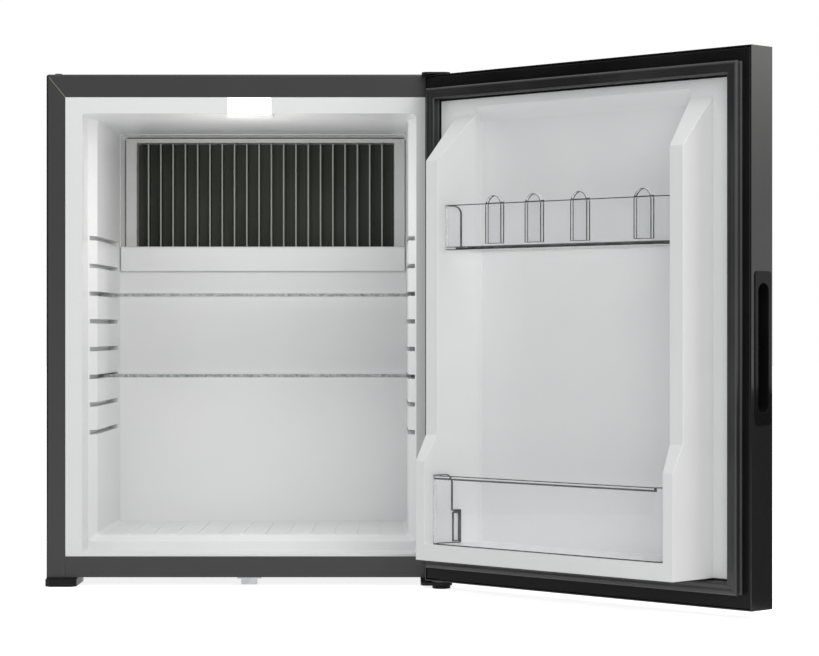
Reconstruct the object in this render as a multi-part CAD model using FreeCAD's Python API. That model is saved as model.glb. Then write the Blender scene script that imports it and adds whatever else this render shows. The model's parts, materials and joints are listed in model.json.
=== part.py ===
"""Hotel minibar fridge: insulated cabinet, hinged door standing open, shelves, racks and cooling unit.

Millimetres. X to the right, Y to the back, Z up. The origin is on the floor, below the middle of the
cabinet's front edge. The door is drawn shut, then turned about its hinge pin to where it stands open.
"""
import FreeCAD
import Part
import math
import os

from FreeCAD import Vector

# Overall sizes
cabinet_width = 402.0
cabinet_height = 498.0
cabinet_depth = 388.0
foot_height = 8.5
sheet = 0.8
bend_radius = 2.4
overrun = 5.0
running_gap = 0.3
seam_gap = 0.4
mitre_gap = 0.7

# Cabinet front
stile_width = 19.0
top_bar_height = 22.8
bottom_rail_height = 20.8
rail_return = 14.0
flange_side = 16.5
flange_top = 16.0
flange_bottom = 2.2

# Inner liner
liner_wall = 1.8
liner_corner = 4.0
rebate_depth = 48.0
entry_depth = 60.0
entry_inset = 8.0
sill_step = 8.4
floor_rise = 6.1
ceiling_drop = 1.2
side_draft = 2.5
ceiling_draft = 1.2
lower_back_foam = 37.0
recess_back_foam = 34.0
recess_inset = 0.5
ledge_from_top = 165.5
groove_count = 8
groove_pitch = 28.0
groove_height = 4.5
groove_reach = 7.5
groove_start = 50.0
groove_end_gap = 16.0
groove_top_above_ledge = 5.0
floor_rib_count = 12
floor_rib_side_gap = 31.1
floor_rib_width = 3.0
floor_rib_height = 0.9
floor_rib_start = 66.0
floor_rib_end_gap = 12.0

# Glass shelves
shelf_thickness = 3.2
shelf_side_gap = 2.6
shelf_length = 98.4
shelf_back_gap = 0.6
upper_shelf_skip_count = 2
lower_shelf_skip_count = 5

# Evaporator, its frame and the drip tray
fin_count = 20
fin_end_gap = 12.46
fin_thickness = 1.8
fin_depth = 21.0
fin_plate = 3.0
fin_plate_side = 14.6
fin_top_gap = 6.5
fin_bottom_gap = 2.0
frame_depth = 20.0
frame_clear = 1.0
tray_floor = 1.8
tray_apron = 4.0
tray_apron_drop = 24.0
tray_lip = 0.7
tray_lip_width = 3.6
tray_front_radius = 3.2
drain_radius = 5.0
drain_bore = 3.2
drain_x = 62.0
drain_cup_gap = 6.0
drain_low_above_pan = 105.7
cup_width = 64.0
cup_depth = 44.0
cup_height = 24.0
cup_wall = 2.0
cup_overlap = 10.0

# Lamp
lamp_width = 43.0
lamp_height = 16.6
lamp_lens_depth = 9.0
lamp_housing_wall = 1.6
lamp_housing_depth = 26.0
lamp_board_thickness = 1.6
lamp_lens_radius = 1.5

# Back of the cabinet
rear_lower_set = 106.0
rear_upper_set = 43.0
rear_step_below_ledge = 14.5
base_pan_thickness = 0.8

# Feet, tab and plug
foot_width = 31.0
foot_front = 12.0
foot_length = 60.0
foot_chamfer = 5.0
stub_radius = 9.0
rear_foot_size = 34.0
rear_foot_inset = 6.0
tab_width = 24.0
tab_back_width = 16.0
tab_height = 7.0
tab_thickness = 1.5
tab_length = 20.0
tab_front_gap = 1.0
plug_radius = 3.6
plug_height = 1.2
plug_stem_radius = 2.4
plug_stem = 4.0
plug_back = 10.0

# Door
door_narrow = 2.0
door_short = 3.0
door_thickness = 32.0
door_lift = -0.7
door_gap = 10.0
door_open_degrees = 135.0
door_skin = 1.0
door_edge_radius = 3.0
door_frame_thickness = 4.0
door_frame_chamfer = 1.6
door_frame_side = 22.0
door_frame_end = 26.5
gasket_inset = 9.0
gasket_width = 11.5
gasket_base = 2.4
gasket_waist = 6.0
gasket_bead = 4.6
gasket_foot_width = 4.0
gasket_foot_depth = 2.5
magnet_width = 6.0
magnet_height = 2.4
magnet_cover = 1.1

# Door liner
door_liner_wall = 1.8
panel_recess = 8.0
panel_top_gap = 8.0
panel_brow = 14.0
rib_foot_outer = 42.0
rib_foot_inner = 68.0
rib_draft_outer = 0.5
rib_draft_inner = 14.0
rib_reach_upper = 42.0
rib_reach_lower = 56.0
rib_top_gap = 42.5
rib_slope = 45.0
rib_step_below_middle = 102.0
rib_step_length = 25.0
ledge_rise = 15.5
liner_foam_depth = 14.0

# Door racks and dividers
rack_wall = 2.4
rack_clear = 0.3
rack_corner = 9.0
upper_rack_floor = 74.0
upper_rack_height = 43.0
upper_rack_reach = 40.0
lower_rack_height = 66.0
lower_rack_reach = 53.0
rack_bead = 3.2
rack_bead_proud = 1.2
rack_slot_height = 26.0
rack_slot_width = 5.5
rack_slot_out = 19.5
rack_slot_up = 2.5
rack_end_round = 8.0
upper_rack_end = 16.0
lower_rack_end = 26.0
rack_foot_end = 17.0
rack_foot_height = 32.0
divider_width = 20.0
divider_leg = 1.5
divider_rise = 7.0
divider_drop = 38.0
divider_place_shares = (0.5705, 0.163, -0.2934, -0.9046)

# Handle insert in the free edge
handle_plate_length = 135.0
handle_plate_width = 23.0
handle_plate_thickness = 1.0
handle_plate_corner = 4.0
handle_slot_length = 114.0
handle_slot_width = 15.0
handle_slot_depth = 20.0
handle_wall = 1.6
handle_below_middle = 17.5

# Hinges
pin_radius = 4.0
pin_clearance = 0.06
pin_from_edge = 10.0
pin_from_inner_face = 12.5
pin_engagement = 16.0
bush_radius = 7.0
bush_length = 18.0
bracket_thickness = 3.0
bracket_width = 31.0
bracket_reach = 11.0
bracket_back = 46.0
bracket_corner = 7.0
washer_radius = 8.5
hinge_plate_thickness = 2.0
hinge_plate_width = 28.0
hinge_plate_back = 40.0
screw_radius = 2.0
screw_head_radius = 4.0
screw_head_height = 2.2
screw_length = 9.0
hinge_screw_first = 12.0
hinge_screw_second = 30.0

# Cooling unit
pipe_radius = 8.0
pipe_bend = 24.0
unit_stand_off = 12.0
boiler_side_gap = 65.2
boiler_radius = 28.0
boiler_top_gap = 37.2
boiler_skin = 0.8
boiler_pipe_foot = 24.0
heater_radius = 5.0
heater_length = 120.0
heater_offset = 15.0
condenser_below_top = 64.0
condenser_side_gap = 60.2
condenser_drop = 30.0
cold_entry_drop = 20.0
condenser_fin_count = 18
condenser_fin_last_gap = 28.0
condenser_fin_width = 22.0
condenser_fin_height = 44.0
condenser_fin_thickness = 0.8
condenser_fin_first_gap = 40.0
clip_width = 14.0
clip_height = 20.0
vessel_radius = 27.0
vessel_from_box = 18.0
vessel_from_boiler = 51.0
vessel_above_pan = 45.2
vessel_round = 11.0
coil_radius = 7.0
coil_left_gap = 4.0
coil_right_gap = 14.0
coil_above_vessel = 58.0
coil_top_gap = 46.0
coil_runs = 5
coil_straight = 2.0
evaporator_pipe_radius = 6.0
evaporator_pipe_bend = 12.0
cold_pipe_behind = 18.0
cold_pipe_side_gap = 100.2
cold_pipe_above_ledge = 7.5
bridge_width = 150.0
bridge_height = 18.0
saddle_thickness = 12.0
saddle_width = 40.0
saddle_from_end = 34.0
box_side_gap = 10.2
box_width = 88.0
box_behind_panel = 15.2
box_depth = 78.0
box_height = 84.0
box_wall = 2.4
inlet_width = 27.0
inlet_height = 20.0
inlet_depth = 16.0
inlet_recess = 12.0
inlet_wall = 2.0
inlet_pin_width = 2.0
inlet_pin_height = 5.0
inlet_pin_spread = 7.0
inlet_raise = 30.0
rear_screw_inset = 14.0
rear_screw_rows = 3

# Places that follow from the sizes above
half_width = cabinet_width / 2
base_z = foot_height
top_z = foot_height + cabinet_height
flange_half = half_width - stile_width
opening_half = flange_half - flange_side
wall_half = opening_half - entry_inset
flange_top_z = top_z - top_bar_height
opening_top_z = flange_top_z - flange_top
flange_bottom_z = base_z + bottom_rail_height
opening_bottom_z = flange_bottom_z + flange_bottom
sill_top_z = opening_bottom_z + sill_step
floor_z = sill_top_z + floor_rise
ceiling_z = opening_top_z - ceiling_drop
ledge_z = top_z - ledge_from_top
recess_half = wall_half - side_draft - recess_inset
recess_top_z = ceiling_z - ceiling_draft - recess_inset
groove_half = wall_half + groove_reach
tray_top_z = ledge_z + tray_floor
inside_half = half_width - sheet
rear_step_z = ledge_z - rear_step_below_ledge
pan_top_z = base_z + base_pan_thickness
rear_lower_depth = cabinet_depth - rear_lower_set
rear_upper_depth = cabinet_depth - rear_upper_set
lower_depth = rear_lower_depth - lower_back_foam
recess_depth = rear_upper_depth - recess_back_foam
groove_end = lower_depth - groove_end_gap
fin_plate_half = recess_half - fin_plate_side + frame_clear
fin_pitch = 2 * (fin_plate_half - fin_end_gap) / (fin_count - 1)
floor_rib_pitch = 2 * (wall_half - floor_rib_side_gap) / (floor_rib_count - 1)
drain_tube_length = ledge_z - pan_top_z - drain_low_above_pan

unit_depth = rear_upper_depth + unit_stand_off
box_left = -inside_half + box_side_gap
box_front = rear_lower_depth + sheet + box_behind_panel
boiler_x = inside_half - boiler_side_gap
boiler_height = rear_step_z - boiler_top_gap - pan_top_z
condenser_height = top_z - condenser_below_top
condenser_left = -inside_half + condenser_side_gap
condenser_fin_first = condenser_left + condenser_fin_first_gap
condenser_fin_pitch = (boiler_x - condenser_fin_last_gap - condenser_fin_first) / condenser_fin_count
vessel_left = box_left + box_width + vessel_from_box
vessel_right = boiler_x - vessel_from_boiler
vessel_height = pan_top_z + vessel_above_pan
coil_left = vessel_left + coil_left_gap
coil_right = vessel_right - coil_right_gap
coil_first = vessel_height + coil_above_vessel
coil_spacing = (rear_step_z - coil_top_gap - coil_first) / (coil_runs - 1)
coil_bend = (coil_spacing - coil_straight) / 2
evaporator_pipe_depth = recess_depth + cold_pipe_behind
evaporator_pipe_right = inside_half - cold_pipe_side_gap
evaporator_pipe_lower = ledge_z + cold_pipe_above_ledge

door_width = cabinet_width - door_narrow
door_height = cabinet_height - door_short
door_half = door_width / 2
door_bottom_z = base_z + door_lift
door_top_z = door_bottom_z + door_height
door_middle_z = door_bottom_z + door_height / 2
door_inner_y = -door_gap
door_outer_y = door_inner_y - door_thickness
pin_x = door_half - pin_from_edge
pin_y = door_inner_y - pin_from_inner_face


def box(x0, x1, y0, y1, z0, z1):
    """Box between two corners."""
    return Part.makeBox(x1 - x0, y1 - y0, z1 - z0, Vector(x0, y0, z0))


def cylinder(radius, start, end):
    """Round bar from one point to another."""
    line = end.sub(start)
    return Part.makeCylinder(radius, line.Length, start, line)


def prism(points, along):
    """Flat outline pushed along a vector."""
    return Part.Face(Part.makePolygon(points + points[:1])).extrude(along)


def round_edges(shape, radius, wanted):
    """Round the edges whose two ends both satisfy a test."""
    edges = [e for e in shape.Edges if all(wanted(v.Point) for v in e.Vertexes)]
    return shape.makeFillet(radius, edges)


def near(a, b):
    """True where two places are the same."""
    return math.isclose(a, b, abs_tol=seam_gap / overrun)


def upright_edges(shape):
    """Edges that stand along Z."""
    found = []
    for e in shape.Edges:
        a, b = (v.Point for v in e.Vertexes)
        if near(a.x, b.x) and near(a.y, b.y):
            found.append(e)
    return found


def ring(x, z0, z1, side, end, width, y0, y1):
    """Rectangular ring about the YZ plane, set in from a rectangle's sides and ends."""
    outer = box(-x + side, x - side, y0, y1, z0 + end, z1 - end)
    inner_side = side + width
    inner_end = end + width
    return outer.cut(
        box(-x + inner_side, x - inner_side, y0 - overrun, y1 + overrun, z0 + inner_end, z1 - inner_end)
    )


def rounded_section(half, z0, z1, radius, y):
    """Rounded rectangle in a plane across Y."""
    x0, x1 = -half, half
    reach = radius * (1 - math.sqrt(1 / 2))
    corners = (
        (x1 - radius, z0, x1 - reach, z0 + reach, x1, z0 + radius),
        (x1, z1 - radius, x1 - reach, z1 - reach, x1 - radius, z1),
        (x0 + radius, z1, x0 + reach, z1 - reach, x0, z1 - radius),
        (x0, z0 + radius, x0 + reach, z0 + reach, x0 + radius, z0),
    )
    edges = []
    for i, (ax, az, mx, mz, bx, bz) in enumerate(corners):
        edges.append(Part.Arc(Vector(ax, y, az), Vector(mx, y, mz), Vector(bx, y, bz)).toShape())
        nx, nz = corners[(i + 1) % len(corners)][:2]
        edges.append(Part.LineSegment(Vector(bx, y, bz), Vector(nx, y, nz)).toShape())
    return Part.Wire(edges)


def bent_tube(points, bend, radius):
    """Tube along straight runs joined by equal tangent bends."""
    edges = []
    start = points[0]
    for before, corner, after in zip(points, points[1:], points[2:]):
        back = before.sub(corner).normalize()
        ahead = after.sub(corner).normalize()
        half_turn = (math.pi - back.getAngle(ahead)) / 2
        leg = bend * math.tan(half_turn)
        arc_start = corner + back * leg
        arc_end = corner + ahead * leg
        toward = (back + ahead).normalize()
        middle = corner + toward * (bend / math.cos(half_turn) - bend)
        edges.append(Part.LineSegment(start, arc_start).toShape())
        edges.append(Part.Arc(arc_start, middle, arc_end).toShape())
        start = arc_end
    edges.append(Part.LineSegment(start, points[-1]).toShape())
    path = Part.Wire(edges)
    first = points[1].sub(points[0])
    profile = Part.Wire([Part.makeCircle(radius, points[0], first)])
    return path.makePipeShell([profile], True, False)


def screw(point, direction):
    """Pan-head screw whose head sits on a face at the point; direction leads out of the face."""
    head = cylinder(screw_head_radius, point, point + direction * screw_head_height)
    return head.fuse(cylinder(screw_radius, point, point - direction * screw_length))


def hole(point, direction):
    """Room for a screw's shank."""
    return cylinder(screw_radius, point, point - direction * screw_length)


def shut_to_open(shape):
    """Turn a shape of the shut door to where the door stands open."""
    opened = shape.copy()
    opened.rotate(Vector(pin_x, pin_y, 0), Vector(0, 0, 1), door_open_degrees)
    return opened


def save(name, shape):
    """Write one piece, or one group of equal pieces."""
    shape.exportStep("parts/" + name + ".step")


def cabinet_block(inset):
    """The wrapper's outer block, or the room inside it, with its bends rounded."""
    x = half_width - inset
    z1 = top_z - inset
    block = box(-x, x, inset, cabinet_depth + overrun, base_z - overrun, z1)
    edges = []
    for e in block.Edges:
        a, b = (v.Point for v in e.Vertexes)
        front = near(a.y, inset) and near(b.y, inset) and max(a.z, b.z) > base_z
        crown = near(a.z, z1) and near(b.z, z1) and near(a.x, b.x)
        if front or crown:
            edges.append(e)
    return block.makeFillet(bend_radius - inset, edges)


def make_wrapper():
    """Sheet folded over both sides and the top, with its front return mitred at the top corners."""
    shell = cabinet_block(0).cut(cabinet_block(sheet))
    window = box(-flange_half, flange_half, -overrun, sheet + overrun, base_z - overrun, flange_top_z)
    below = box(-cabinet_width, cabinet_width, -overrun, cabinet_depth * 2, base_z - 2 * overrun, base_z)
    behind = box(-cabinet_width, cabinet_width, cabinet_depth, cabinet_depth * 2, base_z, top_z + overrun)
    shell = shell.cut(window).cut(below).cut(behind)
    for side in (-1, 1):
        inner = Vector(side * flange_half, 0, flange_top_z)
        outer = Vector(side * (half_width - bend_radius), 0, top_z - bend_radius)
        along = outer.sub(inner).normalize()
        across = Vector(-along.z, 0, along.x) * (mitre_gap / 2)
        start = inner - along * overrun - Vector(0, sheet, 0)
        end = outer - Vector(0, sheet, 0)
        seam = prism([start - across, end - across, end + across, start + across], Vector(0, 2 * sheet, 0))
        shell = shell.cut(seam)
    return shell


def make_rail():
    """Bottom front rail, an angle that butts between the two stiles."""
    x = flange_half - seam_gap / 2
    face = box(-x, x, 0, sheet, base_z, flange_bottom_z)
    return face.fuse(box(-x, x, 0, rail_return, base_z, pan_top_z))


def make_cavity(grow):
    """The liner's inside, or with the wall's thickness added, its outside."""
    start = -overrun if grow == 0 else 0
    rebate_end = rebate_depth + grow
    corner = liner_corner + grow
    half = opening_half + grow
    high = opening_top_z + grow
    low = opening_bottom_z - grow
    rebate = Part.makeLoft([rounded_section(half, low, high, corner, y) for y in (start, rebate_end)], True, True)
    back_half = wall_half - side_draft + grow
    back_top = ceiling_z - ceiling_draft + grow
    inside = Part.makeLoft(
        [
            rounded_section(half, sill_top_z - grow, high, corner, rebate_end),
            rounded_section(wall_half + grow, floor_z - grow, ceiling_z + grow, corner, entry_depth),
            rounded_section(back_half, floor_z - grow, back_top, corner, lower_depth + grow),
        ],
        True,
        True,
    )
    room = rebate.fuse(inside)
    recess = Part.makeLoft(
        [
            rounded_section(recess_half + grow, ledge_z - grow, recess_top_z + grow, corner, y)
            for y in (lower_depth - overrun, recess_depth + grow)
        ],
        True,
        True,
    )
    room = room.fuse(recess)
    for i in range(groove_count):
        z = groove_height_of(i)
        half = groove_height / 2 + grow
        reach = groove_half + grow
        room = room.fuse(box(-reach, reach, groove_start, groove_end + grow, z - half, z + half))
    return room


def groove_height_of(i):
    """Height of the middle of a shelf groove, counted from the top."""
    return ledge_z + groove_top_above_ledge - i * groove_pitch


def make_liner_flange():
    """Flat border of the liner behind the bezel's inner edge."""
    return box(-flange_half, flange_half, 0, liner_wall, flange_bottom_z, flange_top_z)


def lamp_box(grow, y0, y1):
    """Block about the lamp's place in the top flange."""
    z1 = flange_top_z - seam_gap
    half = lamp_width / 2
    return box(-half - grow, half + grow, y0, y1, z1 - lamp_height - grow, z1 + grow)


def make_floor_ribs():
    """Ribs along the compartment floor."""
    ribs = []
    for i in range(floor_rib_count):
        x = (i - (floor_rib_count - 1) / 2) * floor_rib_pitch
        half = floor_rib_width / 2
        ribs.append(
            box(
                x - half,
                x + half,
                floor_rib_start,
                lower_depth - floor_rib_end_gap,
                floor_z - liner_wall / 2,
                floor_z + floor_rib_height,
            )
        )
    return ribs


def make_shelf(groove):
    """Glass shelf lying in one pair of grooves."""
    half = groove_half - shelf_side_gap
    z = groove_height_of(groove) - groove_height / 2 + running_gap
    back = groove_end - shelf_back_gap
    return box(-half, half, back - shelf_length, back, z, z + shelf_thickness)


def make_evaporator():
    """Back plate with upright fins."""
    bottom = tray_top_z + fin_bottom_gap
    top = recess_top_z - fin_top_gap
    plate_y = recess_depth - fin_plate
    fins = box(-fin_plate_half, fin_plate_half, plate_y, recess_depth, bottom, top)
    for i in range(fin_count):
        x = (i - (fin_count - 1) / 2) * fin_pitch
        t = fin_thickness / 2
        fins = fins.fuse(box(x - t, x + t, plate_y - fin_depth, plate_y, bottom, top))
    return fins


def frame_inner_half():
    """Half the width inside the evaporator's frame."""
    return fin_plate_half + frame_clear


def make_evaporator_frame(room):
    """Light frame over and beside the fins, standing on the tray."""
    y0 = recess_depth - frame_depth
    half = recess_half - frame_clear
    frame = box(-half, half, y0, recess_depth, tray_top_z, recess_top_z - frame_clear)
    inner_half = frame_inner_half()
    inner_top = recess_top_z - fin_top_gap + frame_clear
    window = box(-inner_half, inner_half, y0 - overrun, recess_depth + overrun, tray_top_z - overrun, inner_top)
    return frame.cut(window).common(room)


def make_tray(room):
    """Drip tray on the ledge, with a gutter and an apron down the front of the lower wall."""
    half = recess_half - frame_clear
    front = lower_depth - tray_apron
    lip_top = tray_top_z + tray_lip
    floor = box(-half, half, front, recess_depth, ledge_z, tray_top_z)
    apron = box(-half, half, front, lower_depth, ledge_z - tray_apron_drop, tray_top_z)
    lip = box(-half, half, front, front + tray_lip_width, ledge_z, lip_top)
    tray = floor.fuse(apron).fuse(lip).removeSplitter()
    tray = round_edges(tray, tray_front_radius, lambda p: near(p.y, front) and near(p.z, lip_top))
    gutter_half = frame_inner_half() - frame_clear
    gutter = box(
        -gutter_half,
        gutter_half,
        front + 2 * tray_lip_width,
        recess_depth - fin_plate,
        tray_top_z - tray_floor / 2,
        tray_top_z + overrun,
    )
    drain = drain_top()
    bore = cylinder(drain_bore, drain - Vector(0, 0, overrun), drain + Vector(0, 0, overrun))
    return tray.cut(gutter).cut(bore).common(room)


def drain_top():
    """Point where the drain leaves the tray, behind the lower rear panel."""
    return Vector(drain_x, rear_lower_depth + sheet + cup_wall + drain_cup_gap + drain_radius, ledge_z)


def make_drain_tube():
    """Straight drain tube from the tray to the cup behind the rear panel."""
    top = drain_top()
    low = top - Vector(0, 0, drain_tube_length)
    return cylinder(drain_radius, low, top).cut(cylinder(drain_bore, low, top))


def make_cup():
    """Open cup under the drain tube, fixed to the rear panel."""
    low = drain_top() - Vector(0, 0, drain_tube_length)
    x0 = drain_x - cup_width / 2
    x1 = drain_x + cup_width / 2
    y0 = rear_lower_depth + sheet
    z1 = low.z + cup_overlap
    cup = box(x0, x1, y0, y0 + cup_depth, z1 - cup_height, z1)
    return cup.cut(
        box(
            x0 + cup_wall,
            x1 - cup_wall,
            y0 + cup_wall,
            y0 + cup_depth - cup_wall,
            z1 - cup_height + cup_wall,
            z1 + overrun,
        )
    )


def make_lamp():
    """Lens flush with the flange, with its board and housing behind."""
    lens = lamp_box(0, 0, lamp_lens_depth)
    lens = round_edges(lens, lamp_lens_radius, lambda p: near(p.y, 0))
    board_back = lamp_lens_depth + lamp_board_thickness
    board = lamp_box(0, lamp_lens_depth, board_back)
    housing = lamp_box(lamp_housing_wall, liner_wall, lamp_housing_depth)
    housing = housing.cut(lamp_box(0, -overrun, board_back))
    return lens, board, housing


def stepped_outline(offset):
    """Outline of the rear panel's step, from the front at the bottom to the top."""
    return [
        (rear_lower_depth + offset, base_z + base_pan_thickness),
        (rear_lower_depth + offset, rear_step_z - offset),
        (rear_upper_depth + offset, rear_step_z - offset),
        (rear_upper_depth + offset, top_z + overrun),
    ]


def stepped_block(offset):
    """Everything in front of the rear panel's step."""
    points = [(0, base_z + base_pan_thickness)] + stepped_outline(offset) + [(0, top_z + overrun)]
    return prism([Vector(-cabinet_width, y, z) for y, z in points], Vector(2 * cabinet_width, 0, 0))


def make_base_pan():
    """Plate under the foam and the cooling unit."""
    return box(-inside_half, inside_half, rail_return, cabinet_depth, base_z, pan_top_z)


def rear_screw_points():
    """Places of the screws round the rear panel's two faces."""
    points = []
    rows = (
        (rear_lower_depth + sheet, pan_top_z, rear_step_z - sheet),
        (rear_upper_depth + sheet, rear_step_z, top_z),
    )
    for y, low, high in rows:
        for i in range(rear_screw_rows):
            z = low + rear_screw_inset + i * (high - low - 2 * rear_screw_inset) / (rear_screw_rows - 1)
            for side in (-1, 1):
                points.append(Vector(side * (inside_half - rear_screw_inset), y, z))
    return points


def condenser_points():
    """Riser from the boiler, along the condenser, down and in through the rear panel."""
    return [
        Vector(boiler_x, unit_depth, pan_top_z + boiler_pipe_foot),
        Vector(boiler_x, unit_depth, condenser_height),
        Vector(condenser_left, unit_depth, condenser_height),
        Vector(condenser_left, unit_depth, condenser_height - condenser_drop),
    ]


def cold_height():
    """Height of the cold pipe's upper run, behind the fins."""
    return condenser_height - condenser_drop - cold_entry_drop


def evaporator_points():
    """Cold pipe inside the foam, from the condenser's end to the absorber's top."""
    y = evaporator_pipe_depth
    last = coil_end()
    return [
        Vector(condenser_left, unit_depth, condenser_height - condenser_drop),
        Vector(condenser_left, unit_depth, cold_height()),
        Vector(condenser_left, y, cold_height()),
        Vector(evaporator_pipe_right, y, cold_height()),
        Vector(evaporator_pipe_right, y, evaporator_pipe_lower),
        Vector(last.x, y, evaporator_pipe_lower),
        Vector(last.x, y, last.z),
    ]


def coil_end():
    """Top end of the absorber coil, under the rear panel's step."""
    side = coil_left if coil_runs % 2 == 0 else coil_right
    return Vector(side, evaporator_pipe_depth - coil_radius, coil_first + (coil_runs - 1) * coil_spacing)


def coil_points():
    """Absorber coil: level runs one above another, up from the vessel."""
    points = [Vector(coil_left, unit_depth, vessel_height)]
    for i in range(coil_runs):
        z = coil_first + i * coil_spacing
        ends = (coil_left, coil_right) if i % 2 == 0 else (coil_right, coil_left)
        points += [Vector(x, unit_depth, z) for x in ends]
    points.append(coil_end())
    return points


def make_boiler():
    """Casing, its insulation, and the heater beside the riser."""
    low = Vector(boiler_x, unit_depth, pan_top_z)
    high = low + Vector(0, 0, boiler_height)
    skin = Vector(0, 0, boiler_skin)
    can = cylinder(boiler_radius, low, high)
    room = cylinder(boiler_radius - boiler_skin, low + skin, high - skin)
    heater_top = high + Vector(0, heater_offset, overrun)
    heater = cylinder(heater_radius, heater_top - Vector(0, 0, heater_length), heater_top)
    return can.cut(room), room, heater


def make_saddles():
    """Two saddles that carry the absorber vessel on the base pan."""
    saddles = []
    vessel = make_vessel()
    for x in (vessel_left + saddle_from_end, vessel_right - saddle_from_end):
        t = saddle_thickness / 2
        y = unit_depth
        block = box(x - t, x + t, y - saddle_width / 2, y + saddle_width / 2, pan_top_z, vessel_height)
        saddles.append(block.cut(vessel))
    return saddles


def make_vessel():
    """Absorber vessel, a round tank lying along X."""
    tank = cylinder(
        vessel_radius, Vector(vessel_left, unit_depth, vessel_height), Vector(vessel_right, unit_depth, vessel_height)
    )
    rims = [e for e in tank.Edges if e.Closed]
    return tank.makeFillet(vessel_round, rims)


def make_condenser_fins(pipe):
    """Square fins threaded on the condenser pipe."""
    fins = []
    for i in range(condenser_fin_count):
        x = condenser_fin_first + i * condenser_fin_pitch
        z = condenser_height - condenser_fin_height / 2
        y = unit_depth - condenser_fin_width / 2
        fin = Part.makeBox(condenser_fin_thickness, condenser_fin_width, condenser_fin_height, Vector(x, y, z))
        fins.append(fin.cut(pipe))
    return fins


def make_clips(pipe):
    """Blocks that hold the condenser pipe to the rear panel."""
    clips = []
    span = condenser_fin_count * condenser_fin_pitch
    for x in (condenser_fin_first - clip_width, condenser_fin_first + span + clip_width / 2):
        half = clip_width / 2
        z = condenser_height
        clip = box(
            x - half, x + half, rear_upper_depth + sheet, unit_depth, z - clip_height / 2, z + clip_height / 2
        )
        clips.append(clip.cut(pipe))
    return clips


def make_control_box():
    """Box for the control board, with its lid at the back and the mains inlet in the lid."""
    x1 = box_left + box_width
    y1 = box_front + box_depth
    z1 = pan_top_z + box_height
    body = box(box_left, x1, box_front, y1 - box_wall, pan_top_z, z1)
    body = body.cut(
        box(
            box_left + box_wall,
            x1 - box_wall,
            box_front + box_wall,
            y1,
            pan_top_z + box_wall,
            z1 - box_wall,
        )
    )
    lid = box(box_left, x1, y1 - box_wall, y1, pan_top_z, z1)
    x = box_left + box_width / 2
    z = pan_top_z + inlet_raise
    shape = box(
        x - inlet_width / 2, x + inlet_width / 2, y1 - inlet_depth, y1, z - inlet_height / 2, z + inlet_height / 2
    )
    lid = lid.cut(shape)
    room = box(
        x - inlet_width / 2 + inlet_wall,
        x + inlet_width / 2 - inlet_wall,
        y1 - inlet_recess,
        y1 + overrun,
        z - inlet_height / 2 + inlet_wall,
        z + inlet_height / 2 - inlet_wall,
    )
    inlet = shape.cut(room)
    for step in (-1, 0, 1):
        px = x + step * inlet_pin_spread
        pz = z - inlet_pin_height / 2 + (inlet_pin_height / 2 if step == 0 else 0)
        inlet = inlet.fuse(
            box(
                px - inlet_pin_width / 2,
                px + inlet_pin_width / 2,
                y1 - inlet_depth,
                y1 - inlet_wall,
                pz,
                pz + inlet_pin_height,
            )
        )
    return body, lid, inlet


def make_front_foot():
    """Front left foot, with its leading corners cut back."""
    foot = box(-half_width, -half_width + foot_width, -foot_front, foot_length - foot_front, 0, base_z)
    front = [e for e in upright_edges(foot) if near(e.Vertexes[0].Point.y, -foot_front)]
    foot = foot.makeChamfer(foot_chamfer, front)
    under_door = door_bottom_z - running_gap
    return foot.cut(box(-cabinet_width, 0, -foot_front - overrun, 0, under_door, base_z + overrun))


def make_rear_feet():
    """Two feet under the back corners."""
    feet = []
    y1 = cabinet_depth - rear_foot_inset
    for side in (-1, 1):
        x = side * (half_width - rear_foot_inset - rear_foot_size / 2)
        half = rear_foot_size / 2
        foot = box(x - half, x + half, y1 - rear_foot_size, y1, 0, base_z)
        feet.append(foot.makeFillet(foot_chamfer, upright_edges(foot)))
    return feet


def make_tab():
    """Bright tab folded down under the middle of the bottom rail."""
    y0 = tab_front_gap
    z0 = base_z - tab_height
    plan = [
        Vector(-tab_width / 2, y0, base_z - tab_thickness),
        Vector(tab_width / 2, y0, base_z - tab_thickness),
        Vector(tab_back_width / 2, y0 + tab_length, base_z - tab_thickness),
        Vector(-tab_back_width / 2, y0 + tab_length, base_z - tab_thickness),
    ]
    foot = prism(plan, Vector(0, 0, tab_thickness))
    return foot.fuse(box(-tab_back_width / 2, tab_back_width / 2, y0, y0 + tab_thickness, z0, base_z))


def bracket_levels():
    """Lower hinge bracket's underside and top where it passes under the door."""
    top = door_bottom_z - 2 * running_gap - sheet
    return top - bracket_thickness, top


def make_lower_bracket():
    """Hinge bracket: its back is screwed under the cabinet and its nose carries the pin under the door."""
    low, top = bracket_levels()
    x1 = half_width - seam_gap
    x0 = x1 - bracket_width
    y0 = pin_y - bracket_reach
    nose = box(x0, x1, y0, 0, low, top)
    upright = [e for e in upright_edges(nose) if near(e.Vertexes[0].Point.y, y0)]
    nose = nose.makeFillet(bracket_corner, upright)
    return nose.fuse(box(x0, x1, 0, bracket_back, low, base_z))


def make_upper_plate():
    """Hinge plate welded under the cabinet's top, which reaches forward over the door."""
    x1 = half_width - bend_radius
    x0 = x1 - hinge_plate_width
    y0 = pin_y - bracket_reach
    z1 = top_z - sheet
    plate = box(x0, x1, y0, hinge_plate_back, z1 - hinge_plate_thickness, z1)
    upright = [e for e in upright_edges(plate) if near(e.Vertexes[0].Point.y, y0)]
    return plate.makeFillet(bracket_corner, upright)


def hinge_screws():
    """Screws up through the lower bracket: places and outward directions."""
    x = half_width - seam_gap - bracket_width / 2
    low = bracket_levels()[0]
    return [(Vector(x, y, low), Vector(0, 0, -1)) for y in (hinge_screw_first, hinge_screw_second)]


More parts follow.
